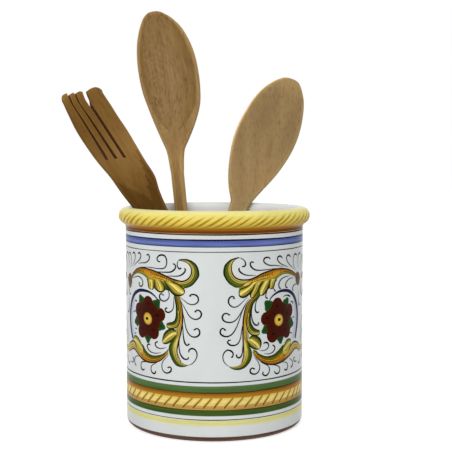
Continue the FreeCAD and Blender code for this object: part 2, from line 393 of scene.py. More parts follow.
def crockRings():
    # rings from under the base, up the wall, over the rim and down to the floor
    c = crock
    white, inside, foot = tone(c["white"]), tone(c["inside"]), tone(footLook["mid"])
    rings = []

    def ring(r, z, colour, streak=0.0, swing=None):
        rings.append({"r": r, "z": z, "above": (*colour, streak), "below": (*colour, streak),
                      "wobble": 0.0, "swing": swing})

    for r in (*c["middle"], c["radius"] - c["foot"]):
        ring(r, 0, foot)
    for degrees in (-72, -54, -36, -18):
        a = math.radians(degrees)
        ring(c["radius"] - c["foot"] * (1 - math.cos(a)), c["foot"] * (1 + math.sin(a)), foot)
    coveR = c["radius"] + c["cove"]
    rollR, rollZ = c["rimCentre"], c["height"] - c["roll"]
    coveZ = rollZ - math.sqrt((c["roll"] + c["cove"]) ** 2 - (coveR - rollR) ** 2)
    meeting = math.degrees(math.atan2(rollZ - coveZ, rollR - coveR)) - 180

    edges = {c["footBand"]: {"below": (*foot, 0.0)}, c["foot"]: {}}
    for top, bottom, first, last, streak in bands:
        edges.setdefault(bottom, {})["above"] = (*tone(last), streak)
        edges.setdefault(top, {})["below"] = (*tone(first), streak)
    edges[bands[0][0]]["above"] = (*rimTone(rimYellow["from"]), rimYellow["streak"])
    heights = sorted(edges)
    for z, higher in zip(heights, heights[1:] + heights[-1:]):
        r = c["radius"]
        if z > coveZ:
            r = coveR - math.sqrt(max(c["cove"] ** 2 - (z - coveZ) ** 2, 0))
        if z < c["foot"]:
            r += math.sqrt(c["foot"] ** 2 - (c["foot"] - z) ** 2) - c["foot"]
        rings.append({"r": r, "z": z, "above": edges[z].get("above", (*white, 0.0)),
                      "below": edges[z].get("below", (*white, 0.0)), "wobble": c["wobble"], "swing": None})
        extra = int((higher - z) / 5)  # more rings where the wall is plain
        for k in range(1, extra + 1):
            ring(c["radius"], z + (higher - z) * k / (extra + 1), white)
    for k in range(1, c["rimRings"] + 1):
        swing = meeting + (180 - meeting) * k / c["rimRings"]
        ring(0, 0, rimTone(swing), rimYellow["streak"] if swing < rimYellow["to"] else 0.0, swing)
    lipZ, cornerZ = c["height"] - c["lip"], c["floor"] + c["corner"]
    for k in range(1, c["insideRings"] + 1):
        ring(c["inner"], lipZ + (cornerZ - lipZ) * k / c["insideRings"], inside)
    for degrees in (18, 36, 54, 72, 90):
        a = math.radians(degrees)
        inward, upward = c["corner"] * (1 - math.cos(a)), c["corner"] * (1 - math.sin(a))
        ring(c["inner"] - inward, c["floor"] + upward, inside)
    for r in reversed(c["middle"]):
        ring(r, c["floor"], inside)
    return rings


def buildCrock():
    # skin over all rings, each with a hand-drawn waver where a band ends
    rings, count = crockRings(), crock["around"]
    rng = random.Random(7)
    verts = []
    for row in rings:
        waves = [(rng.uniform(0, 6.28), n, rng.uniform(0.4, 1.0) / n ** 0.4) for n in (2, 3, 5, 9)]
        for k in range(count):
            turn = 2 * math.pi * k / count
            if row["swing"] is not None:
                verts.append(rollPoint(turn, row["swing"]))
                continue
            z = row["z"] + row["wobble"] * sum(a * math.sin(n * turn + p) for p, n, a in waves)
            verts.append((row["r"] * mm * math.sin(turn), -row["r"] * mm * math.cos(turn), z * mm))
    # texture heights: the painted wall gets most of the room
    heights = [0.0]
    for i in range(len(rings) - 1):
        a, b = Vector(verts[i * count]), Vector(verts[(i + 1) * count])
        outside = i >= crock["bareRows"] - 1 and rings[i]["r"] != crock["inner"]
        painted = outside and (rings[i]["swing"] or 0) < crock["paintedTo"]
        room = crock["paintedRoom"] if painted else crock["plainRoom"]
        heights.append(heights[-1] + ((b - a).length / mm + 0.02) * room)
    faces, colours, places, finishes = [], [], [], []
    for i, (low, high) in enumerate(zip(rings, rings[1:])):
        bare = i < crock["bareRows"]
        v0, v1 = heights[i] / heights[-1], heights[i + 1] / heights[-1]
        for k in range(count):
            n = (k + 1) % count
            faces.append((i * count + k, i * count + n, (i + 1) * count + n, (i + 1) * count + k))
            colours += [low["above"], low["above"], high["below"], high["below"]]
            u0, u1 = k / count, (k + 1) / count
            places += [(u0, v0), (u1, v0), (u1, v1), (u0, v1)]
            finishes.append(1 if bare else 0)
    piece = makePiece("crockBody", verts, faces, "crock", [glaze, slip], finishes)
    paintCorners(piece.data, colours)
    mapCorners(piece.data, places)
    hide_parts("crock")
    return piece


crockBody = buildCrock()
print("crock body:", len(crockBody.data.polygons), "faces")


# Painted strokes lie on the wall as thin raised glaze

def newLayer():
    return {"verts": [], "faces": [], "tones": [], "flat": []}


def addGrid(layer, rows):
    # rows of (place, colour, texture place), joined into faces that look outward
    start = len(layer["verts"])
    for row in rows:
        for place, colour, flat in row:
            layer["verts"].append(place)
            layer["tones"].append(colour)
            layer["flat"].append(flat)
    wide = len(rows[0])
    for i in range(len(rows) - 1):
        for j in range(wide - 1):
            a = start + i * wide + j
            face = (a, a + 1, a + wide + 1, a + wide)
            p, q, r = (Vector(layer["verts"][n]) for n in (a, a + 1, a + wide))
            outward = (q - p).cross(r - p).dot(Vector((p.x, p.y, 0)))
            layer["faces"].append(face if outward > 0 else face[::-1])


def finishLayer(name, layer, streak):
    # all strokes of a layer as one piece
    piece = makePiece(name, layer["verts"], layer["faces"], "crock", [glaze])
    corners = [v for face in layer["faces"] for v in face]
    paintCorners(piece.data, [(*layer["tones"][v], streak) for v in corners])
    mapCorners(piece.data, [layer["flat"][v] for v in corners])
    return piece


# Rope strokes on the rim and on the lower band

rimStroke = {
    "width": 2.7, "low": "946e16", "high": "ac8c22", "lift": 0.05, "steps": 16,
    "wander": 0.011, "short": 22, "fadeIn": 0.3, "fadeOut": 0.34, "strip": (0.52, 0.98),
}
lowerRope = {
    "count": 56, "low": 28.6, "high": 37.8, "yellow": (31.1, 37.0), "slant": 7.6, "wander": 0.7,
    "ink": "64481a", "inkEnd": "8a6424", "inkWidth": 0.76, "inkLift": 0.05, "inkStrip": (0.27, 0.48),
    "cell": "e8d278", "soft": "b88a32", "softWidth": 2.3, "softLift": 0.03, "softStrip": (0.02, 0.23),
}


def strokeFlat(k, count, side, low, high, share):
    # texture place of a stroke: its own column in a strip of the sheet
    return (0.01 + 0.98 * ((k + 0.5 + side) / count), low + (high - low) * share)


def addRimStrokes(layer, rng):
    # one brown stroke in each groove of the rope
    look = rimStroke
    rimReach = crock["rimCentre"] + crock["roll"]
    for k in range(rimRope["strands"]):
        start = 2 * math.pi * k / rimRope["strands"] + rng.uniform(-look["wander"], look["wander"])
        wide = look["width"] * rng.uniform(0.6, 1.2)
        top = rimRope["high"] - rng.uniform(0, look["short"])
        rows = []
        for i in range(look["steps"] + 1):
            share = i / look["steps"]
            swing = rimRope["low"] + (top - rimRope["low"]) * share
            ink = blend(tone(look["low"]), tone(look["high"]), share)
            strength = min(share / look["fadeIn"], 1) * min((1 - share) / look["fadeOut"], 1)
            row = []
            for j in range(7):
                side = (j - 3) / 3
                turn = start + strandTurn(swing) + side * wide * (1 - 0.4 * share) / rimReach
                colour = blend(rimTone(swing), ink, strength * (1 - side * side))
                flat = strokeFlat(k, rimRope["strands"], side * 0.4, *look["strip"], share)
                row.append((rollPoint(turn, swing, look["lift"]), colour, flat))
            rows.append(row)
        addGrid(layer, rows)


def addLowerStroke(layer, k, along, lean, soft):
    # a soft shade under each stroke, then the thin brown stroke itself
    look = lowerRope
    low, high = look["low"], look["high"]
    first, last = look["yellow"] if soft else (low, high)
    rows = []
    for i in range(11):
        z = first + (last - first) * i / 10
        share = (z - low) / (high - low)
        middle = along + lean * (share - 0.03 * math.sin(2 * math.pi * share))
        wide = look["softWidth"] if soft else look["inkWidth"] * (1 - 0.5 * share)
        wide *= 1 - 0.5 * max(abs(share - 0.5) - 0.4, 0) * 10  # narrower at both ends
        row = []
        for j in range(5):
            side = (j - 2) / 2
            if soft:
                colour = blend(tone(look["cell"]), tone(look["soft"]), 0.8 * (1 - side * side))
                flat = strokeFlat(k, look["count"], side * 0.4, *look["softStrip"], share)
            else:
                colour = blend(tone(look["ink"]), tone(look["inkEnd"]), share)
                flat = strokeFlat(k, look["count"], side * 0.1, *look["inkStrip"], share)
            lift = look["softLift"] if soft else look["inkLift"]
            row.append((wallPoint(middle + side * wide, z, lift), colour, flat))
        rows.append(row)
    addGrid(layer, rows)


def buildRope():
    layer = newLayer()
    rng = random.Random(11)
    addRimStrokes(layer, rng)
    pitch = 2 * math.pi * crock["radius"] / lowerRope["count"]
    for k in range(lowerRope["count"]):
        along = k * pitch + rng.uniform(-lowerRope["wander"], lowerRope["wander"])
        lean = lowerRope["slant"] * rng.uniform(0.85, 1.15)
        for soft in (True, False):
            addLowerStroke(layer, k, along, lean, soft)
    return finishLayer("ropeStrokes", layer, 0.2)


ropeStrokes = buildRope()
print("rope strokes:", len(ropeStrokes.data.polygons), "faces")


# Scrolls: points are millimetres out from the front line, along the wall, and millimetres up

leafTones = {
    # colours across a leaf, from its first edge to its second
    "hook": tones("2c3c0b 3c4e10 46580f 52621a 6a7220 b2a23c eeda84 a29236 36360f"),
    "hookEnd": tones("36460d 465712 526218 787c28 c8b852 e4ca64 bc9030"),
    "bodyStart": tones("7a5212 c8901c d8b040 e6cc66 dec468"),
    "body": tones("8a520c b9750f cc9024 be9628 7c7a22 505a16"),
    "bodyEnd": tones("6f4c22 86602a 84702e 66652c a5a55c"),
    "web": tones("a8801e 7c741c 4a5812 36460d 2f3f0b"),
    "lobe": tones("46540f a8982c ead56c f2de7c c4aa3e 565c12 2f3f0b"),
    "lobeDark": tones("3a4a0e 988a28 dec45a b89e36 565c12 2f3f0b"),
    "lobeGold": tones("4c5814 b49c34 ecd478 e2c868 968f30 3e4e10"),
    "stemTop": tones("8c6420 b0842a 8a7c22 4a5812 3a4a0e 36460d"),
    "stemJoin": tones("94601a bc8420 c0902a 948a2c 525e16 3a4a0e"),
    "stemMid": tones("9c6a1c c08a20 d4b04a e4cc72 968f32"),
    "stemLow": tones("a87624 dabc5c e8d680 969634 44550f 3a4b0d 2a380a"),
    "stemEnd": tones("6a5a1c a89434 7c7e26 3e4e0e 2c3a0a 1c2607"),
    "frond": tones("2c3c0b 3e4f10 4c5c14 868228 e0ca64 a49232 3e4e10"),
    "bud": tones("2c3c0b 3e4e10 868026 e4cf6a f4e084 cab246 4c5814 2c3c0b"),
    "branch": tones("223c0d 2c480e 3f5610 a08a1e c48c20 c0801c a0681a 5c3a10"),
    "branchEnd": tones("949338 d0ba58 cca040 b4822a 7c5a22"),
    "finger": tones("3c521a 969034 e0ce70 e0c866 a29340 55622a"),
    "fingerEnd": tones("6a6426 d0c468 e2da94 c4ba6c"),
    "wash": tones("d4d6dc c3c6d2 b9bdcd cfd2d9"),
    "clasp": tones("6a4a34 57382a 4a2f22 63452f 6e5038"),
}

# places of fine lines across a leaf
leafVeins = {
    "hookEnd": (0.5, 0.75), "bodyStart": (0.3, 0.62), "body": (0.55,), "stemTop": (0.3, 0.6),
    "stemMid": (0.35, 0.65), "stemLow": (0.3, 0.6), "frond": (0.4, 0.7), "bud": (0.35, 0.65),
    "branch": (0.45, 0.7), "branchEnd": (0.4, 0.7), "lobe": (0.6,), "lobeDark": (0.5,),
    "lobeGold": (0.55,), "finger": (0.6,),
}

# each leaf: its first edge, its second edge, its colours at the start and at the end
rightScroll = {
    "leaves": [
        (((34, 132.2), (28, 130.8), (23.5, 127.2), (18.7, 126.8), (15.7, 128.2), (12.9, 130.7),
          (10.7, 133.6), (9.3, 136.4), (8.7, 139.3), (8.7, 142.1), (9.9, 145.4), (11.8, 147.7),
          (14.6, 149.6), (20.9, 151.4)),
         ((37.1, 134.8), (30, 132.8), (27.1, 132.7), (23.9, 132.8), (20.7, 133.5), (18.2, 134.8),
          (16.3, 137), (15.2, 139.6), (14.8, 142.5), (15, 145.4), (16.1, 147.9), (18.2, 150), (20.7, 151)),
         "hookEnd", "hook"),
        (((30, 133), (33.6, 134.2), (38.6, 136), (42.9, 137.4), (47.1, 138.5), (52.1, 139.4),
          (57.1, 139.9)),
         ((25, 127.4), (30, 127.5), (36, 129), (42, 129.6), (48, 130), (52, 130), (57.1, 131.6)),
         "bodyStart", "body"),
        (((57.1, 139.9), (62.1, 140), (67.1, 139.7), (72.1, 138.8), (77.1, 137.5), (82.1, 136), (87.1, 134),
          (92.1, 132)),
         ((57.1, 131.6), (60.7, 133.4), (64.3, 134.5), (68.6, 135), (72.9, 134.6), (77.1, 133.7),
          (82.1, 132.3), (87.1, 130.6), (92.1, 128.6)), "body", "bodyEnd"),
        (((21, 127), (30, 129), (40, 131), (50, 131.5), (58, 132.5)),
         ((21.6, 122), (28, 120.6), (34.5, 120.6), (40.5, 121.4), (46.5, 123.4), (52, 125.8), (57.5, 130.4)),
         "web", "web"),
        (((33.5, 122.5), (31.4, 117.1), (29.3, 115), (27.5, 112.1), (26.1, 107.9), (25.1, 102.9),
          (24.6, 97.9), (24.5, 92.9)),
         ((43, 123), (40, 118.9), (37.1, 117.1), (34.3, 114.3), (32.1, 110.7), (31.1, 106.4), (30.7, 102.1),
          (30.9, 97.9), (31.6, 94)), "stemTop", "stemJoin"),
        (((33, 131), (29, 127.8), (24.5, 126), (21.8, 125), (21.1, 122.9), (21.4, 120.9)),
         ((38, 130), (34.3, 125.7), (31.4, 122.9), (29.3, 120.7), (27.1, 119.3), (24.6, 118.7),
          (22.9, 119.1), (21.4, 120.7)), "lobe", "lobe"),
        (((35, 129.5), (33, 124.5), (31.2, 121.5), (30.9, 119.3), (31.8, 117.9)),
         ((42.5, 131), (39.8, 127.5), (38.3, 124), (36.5, 121), (34, 118.3), (32, 117.8)),
         "lobeGold", "lobeDark"),
        (((43.5, 131), (40.3, 127), (38.8, 124), (39.2, 121), (40.3, 119.3)),
         ((51, 131.5), (48.8, 127), (47.3, 123.8), (45, 121.2), (42.2, 119.6), (40.6, 119.2)),
         "lobe", "lobe"),
        (((50, 132), (49.3, 127.5), (49.8, 124.8)),
         ((57.5, 132), (55.4, 129), (54.8, 127), (53.7, 124.9), (51.8, 124.1), (50.2, 124.3)),
         "lobeGold", "lobeDark"),
        (((24.6, 97.9), (24.5, 92.9), (24.4, 87.9), (24.6, 82.9), (25, 77.9)),
         ((29.5, 93.5), (29.2, 90), (29.6, 86.5), (28.6, 83), (29.5, 80.5), (31, 77)),
         "stemMid", "stemLow"),
        (((25, 77.9), (25.1, 74.3), (25, 70.7), (24.4, 67.1), (22.9, 64.3), (20.4, 62.7), (17.1, 62.1),
          (13.4, 62)),
         ((31, 77), (32.2, 74), (32.6, 70.7), (31.8, 67.1), (29.6, 63.6), (26.4, 60.7), (22.9, 59.3),
          (19.3, 59.1), (15.7, 60), (13.2, 61.6)), "stemLow", "stemEnd"),
        (((30.9, 106), (30.9, 100), (31.9, 95.6), (34.2, 92.6), (37, 91.2), (39, 90.6), (39.7, 89.4)),
         ((28.4, 105), (27.4, 98.6), (28.2, 93), (30.4, 89), (33.2, 87.1), (36.6, 86.6), (38.9, 87.2),
          (39.6, 88.8)), "frond", "frond"),
        (((29.5, 84.5), (31.4, 85.9), (34.3, 86.8), (37.1, 85.7), (39.6, 83.6), (41.1, 80.7), (40.9, 77.9),
          (39.6, 75.4)),
         ((28.2, 83.2), (29.2, 80.3), (31.3, 77.6), (34.5, 75.7), (37.2, 75), (39.3, 75.2)), "bud", "bud"),
        (((33.6, 75), (36.4, 74), (38.6, 71.8), (42.1, 69.9), (45.7, 68.6), (50, 68.4), (54.3, 69.1),
          (58.6, 71.1), (62.1, 73.2), (65.2, 75.2), (67.2, 75.4), (68, 74)),
         ((33.2, 73.2), (35, 70), (37.9, 67.1), (41.4, 64.6), (45.7, 62.5), (50, 61.3), (54.3, 60.7),
          (59.3, 60.9), (64.3, 61.6), (68.6, 62.7), (74, 64.5)), "branch", "branch"),
        (((66.5, 74), (69.6, 77.1), (72.1, 78.9), (75, 79.4), (77.5, 78.9), (78.8, 76.6)),
         ((66, 66), (70, 66.8), (73.5, 68.5), (76, 71), (77.6, 73.4), (78.7, 75.8)), "finger", "finger"),
        (((68, 71), (73, 71), (77.5, 73), (81, 74.6), (85, 75.6), (90, 75), (94.3, 73.9), (100, 72.1),
          (106, 70.4), (116, 69.6), (128.6, 69.4)),
         ((68.6, 62.7), (73.6, 64.3), (78.6, 66.1), (83.6, 68.2), (87.9, 69.1), (92.9, 68.7), (97, 66.8),
          (101, 65.4), (106, 65.2), (116, 66), (128.6, 66.4)), "branchEnd", "fingerEnd"),
        (((107, 129.8), (110, 131.8), (114, 132.8), (120, 132.6), (128.6, 131.4)),
         ((107, 129), (110, 127.8), (114, 127.6), (120, 128), (128.6, 127.6)), "body", "bodyStart"),
    ],
    "clasp": (((88.2, 131), (90, 134.2), (95, 134.8), (100.4, 132.6), (103.6, 129.6)),
              ((88.2, 128.6), (90, 125.4), (95, 122.8), (100.4, 124.4), (103.6, 128.6))),
    "arc": ((49.3, 113.9), (51.4, 116.8), (55, 119.1), (59.3, 120.7), (64.3, 121.4), (68.6, 121.2),
            (73.6, 120.4), (78.6, 118.6), (83.6, 115.7), (87.9, 111.4), (91.4, 106.4), (93.4, 100.7),
            (93.6, 95.7), (92.7, 90), (90.5, 84.3), (87.7, 78.4)),
    "rosette": {
        "centre": (60.5, 97.4), "eye": (60.4, 97.2), "pupil": (60.9, 97.5),
        "petals": ((58.6, 109.6, 6.6), (75.2, 103.4, 6.4), (71.2, 86.8, 6.2), (53.2, 85.4, 6.5),
                   (46.6, 99.6, 6.0)),
        "leaflets": ((48.9, 110, 5.6), (70.2, 110.2, 5.2), (78, 92.6, 5.4), (62.4, 81.8, 4.8),
                     (46, 90.6, 4.6)),
        "spots": ((58.2, 108.8), (47, 100.2), (53.5, 86.3), (68.9, 88), (72.9, 101.4)),
    },
    "outlines": [
        ((21, 151.1), (18.2, 150), (16.1, 147.9), (15, 145.4), (14.8, 142.5), (15.2, 139.6), (16.3, 137.1),
         (18.2, 135), (20.7, 133.7), (23.9, 133), (30, 133), (36, 134.8), (42.9, 137.5), (52.1, 139.5),
         (60, 140.1), (70, 139.2), (80, 136.8), (90, 132.9)),
        ((20.9, 151.5), (14.6, 149.6), (10, 145.4), (8.7, 140.5), (9.3, 136.4), (12.9, 130.7),
         (18.7, 126.8)),
        ((21.1, 123), (21.6, 119.9), (24.6, 118.6), (28.5, 120), (32, 123.4)),
        ((48.8, 127.4), (47.2, 123.7), (43.5, 120), (40.4, 119.2)),
        ((39.5, 118.7), (34.3, 114.2), (32.1, 110.7), (30.8, 103), (31.4, 97), (34.5, 92.6), (39, 90.7)),
        ((31, 117), (27.5, 112.1), (25.1, 102.9), (24.5, 92.9), (24.6, 82.9), (25.1, 72), (23.2, 64.6)),
        ((30.5, 85.6), (34.3, 86.9), (39.6, 83.7), (41, 79), (39.5, 75.3)),
        ((33.2, 73.2), (37.9, 67), (45.7, 62.4), (54.3, 60.6), (64.3, 61.5), (75, 64.7), (86, 69),
         (93, 68.7), (99, 66)),
        ((75, 69.5), (79, 73.6), (85, 75.7), (92, 74.7), (100, 72)),
    ],
    "tendrils": [
        ((20.9, 151.2), (23.4, 150.4), (25.6, 148.6), (26.7, 146.2), (26, 144.3), (24.2, 143.6)),
        ((36, 136.2), (29, 136.5), (25, 137.6), (22, 139.6), (20.9, 141.6), (21.6, 142.8)),
        ((56, 140.8), (46, 140.2), (38, 140.2), (34, 141.4), (31.4, 143.8), (30.8, 146), (32, 147.4),
         (33.9, 146.7)),
        ((66, 141.4), (57, 143), (50, 143.6), (46, 145), (43.6, 147), (43.9, 149.4), (46.4, 150.4),
         (49, 150), (50, 148.7)),
        ((74, 140.4), (67, 142.4), (62, 144.4), (58.8, 147.2), (58.7, 149.6), (61, 150.5), (63.6, 149.8),
         (64.3, 148.4)),
        ((84, 137.8), (79, 140.6), (74.4, 143.2), (71.6, 146), (70.8, 148.6), (72.4, 150.4), (75, 150.3),
         (77.5, 148.6)),
        ((88, 137), (84.4, 140), (82.6, 143.4), (83, 147.4), (85.4, 150.2), (89, 150.2), (92, 149)),
        ((97, 137.4), (94.8, 141), (94.6, 145.2), (96.6, 149), (100.6, 150.4), (104.4, 149.2)),
        ((99, 119), (97.2, 114), (97.4, 109), (99.6, 105.6), (102.4, 106.4)),
        ((76, 132.9), (69, 132.6), (64, 131.4), (60.8, 128.8), (60.2, 126), (61.2, 123.8), (62.9, 123.4)),
        ((84, 130.4), (77, 130.6), (72.6, 129.2), (69.8, 127), (69.4, 124.8), (71, 123.4), (72.6, 123.6)),
        ((92, 124.6), (86, 124.4), (82.4, 123), (81.6, 120.8), (83.4, 119.6)),
        ((53.4, 125.6), (54.4, 123.4), (56.4, 121.4)),
        ((47, 122.4), (45.7, 120), (45.7, 117.4), (47.8, 116.4)),
        ((28.6, 118.8), (24, 114.8), (20.4, 111.8), (17, 110.9), (13.8, 112.4), (12.3, 115.4),
         (13.2, 118.6), (15.4, 119.8), (17.2, 119)),
        ((29.6, 117.6), (26, 112), (22.8, 106.4), (19.8, 101.8), (16.2, 99), (12.2, 98.6), (8.8, 99.8),
         (7.3, 102.4), (8.2, 105.2), (10.6, 106), (12.8, 105)),
        ((27, 112.6), (23.6, 106.6), (21.4, 100.4), (19, 94.4), (15.8, 89.4), (12.2, 87.2), (8.8, 87.3),
         (6, 89.2), (5.7, 92), (7.4, 93.8), (9.6, 92.8)),
        ((24.5, 98), (23.2, 91), (22.4, 85.4), (20.4, 81.2), (17.2, 79.6), (13.8, 80), (11.7, 82),
         (12.4, 83.8), (14.2, 83.8)),
        ((24.6, 84), (24.2, 76), (23.4, 71.4), (21.6, 69.3), (19.4, 70), (18.9, 72.2)),
        ((14.6, 61.7), (11, 63.6), (8.6, 66.6), (7.7, 70.2), (8.7, 73.6), (11.2, 75.8), (14, 75.3),
         (16, 73.4), (16, 71), (14.9, 69.9)),
        ((33.4, 71), (36, 67.4), (38.4, 64), (39.7, 60.4), (39, 57), (36.4, 54.9), (33.4, 54.9), (31, 56.6),
         (31.2, 58.9), (32.9, 59.9), (34.6, 59.1)),
        ((40, 64.4), (44, 62.4), (47.6, 60.6), (49.6, 58), (49.3, 55), (47, 52.6), (44.4, 52.6),
         (42.6, 54.2), (43.4, 55.8)),
        ((52, 60.6), (56.6, 59.6), (60, 58.3), (61.8, 56), (61, 53.3), (58.5, 52.3), (56, 53.3),
         (55.3, 54.8)),
        ((65, 60.9), (69, 60.6), (72, 59.1), (73.3, 56.6), (72.2, 54.2), (70, 53.6), (68, 54.8)),
        ((76, 62.6), (79.5, 61), (82, 58.9), (82.3, 56.6), (80.5, 54.9), (78.5, 55)),
        ((93, 58), (88.4, 58.2), (85.4, 59.2), (84.9, 61.2), (87, 62.2)),
        ((104, 63), (105.4, 59.6), (103.6, 56.4), (100, 55.2), (97.4, 56.8)),
        ((39.6, 118.4), (36.8, 115.6), (35.5, 111.6), (35.4, 107.8), (36.9, 105.5), (38.9, 106)),
        ((34.6, 114.8), (32.7, 110.6), (31.9, 105.6), (32.4, 100.6), (34.2, 96.6), (36.6, 95), (38.6, 96),
         (38.2, 97.4)),
        ((39.6, 74), (43, 73.4), (46.6, 74.2), (48.7, 76.6), (47.8, 79.2), (45.2, 80), (43.4, 79.2)),
        ((44, 70.8), (49, 70.1), (53, 71), (55.5, 73.4), (55, 75.9), (52.8, 76.9)),
        ((65.6, 115.8), (69, 116.9), (73.6, 116.6), (77.4, 115)),
        ((77, 111.2), (80, 110.6), (82.4, 109)),
        ((81, 97.3), (84.6, 96.8)),
        ((76.6, 84.4), (80.4, 83.9)),
    ],
    "seeds": ((16.8, 118.2), (12.9, 104.8), (9.5, 92.4), (15.1, 70), (34.3, 59.1), (24.5, 143.9)),
}

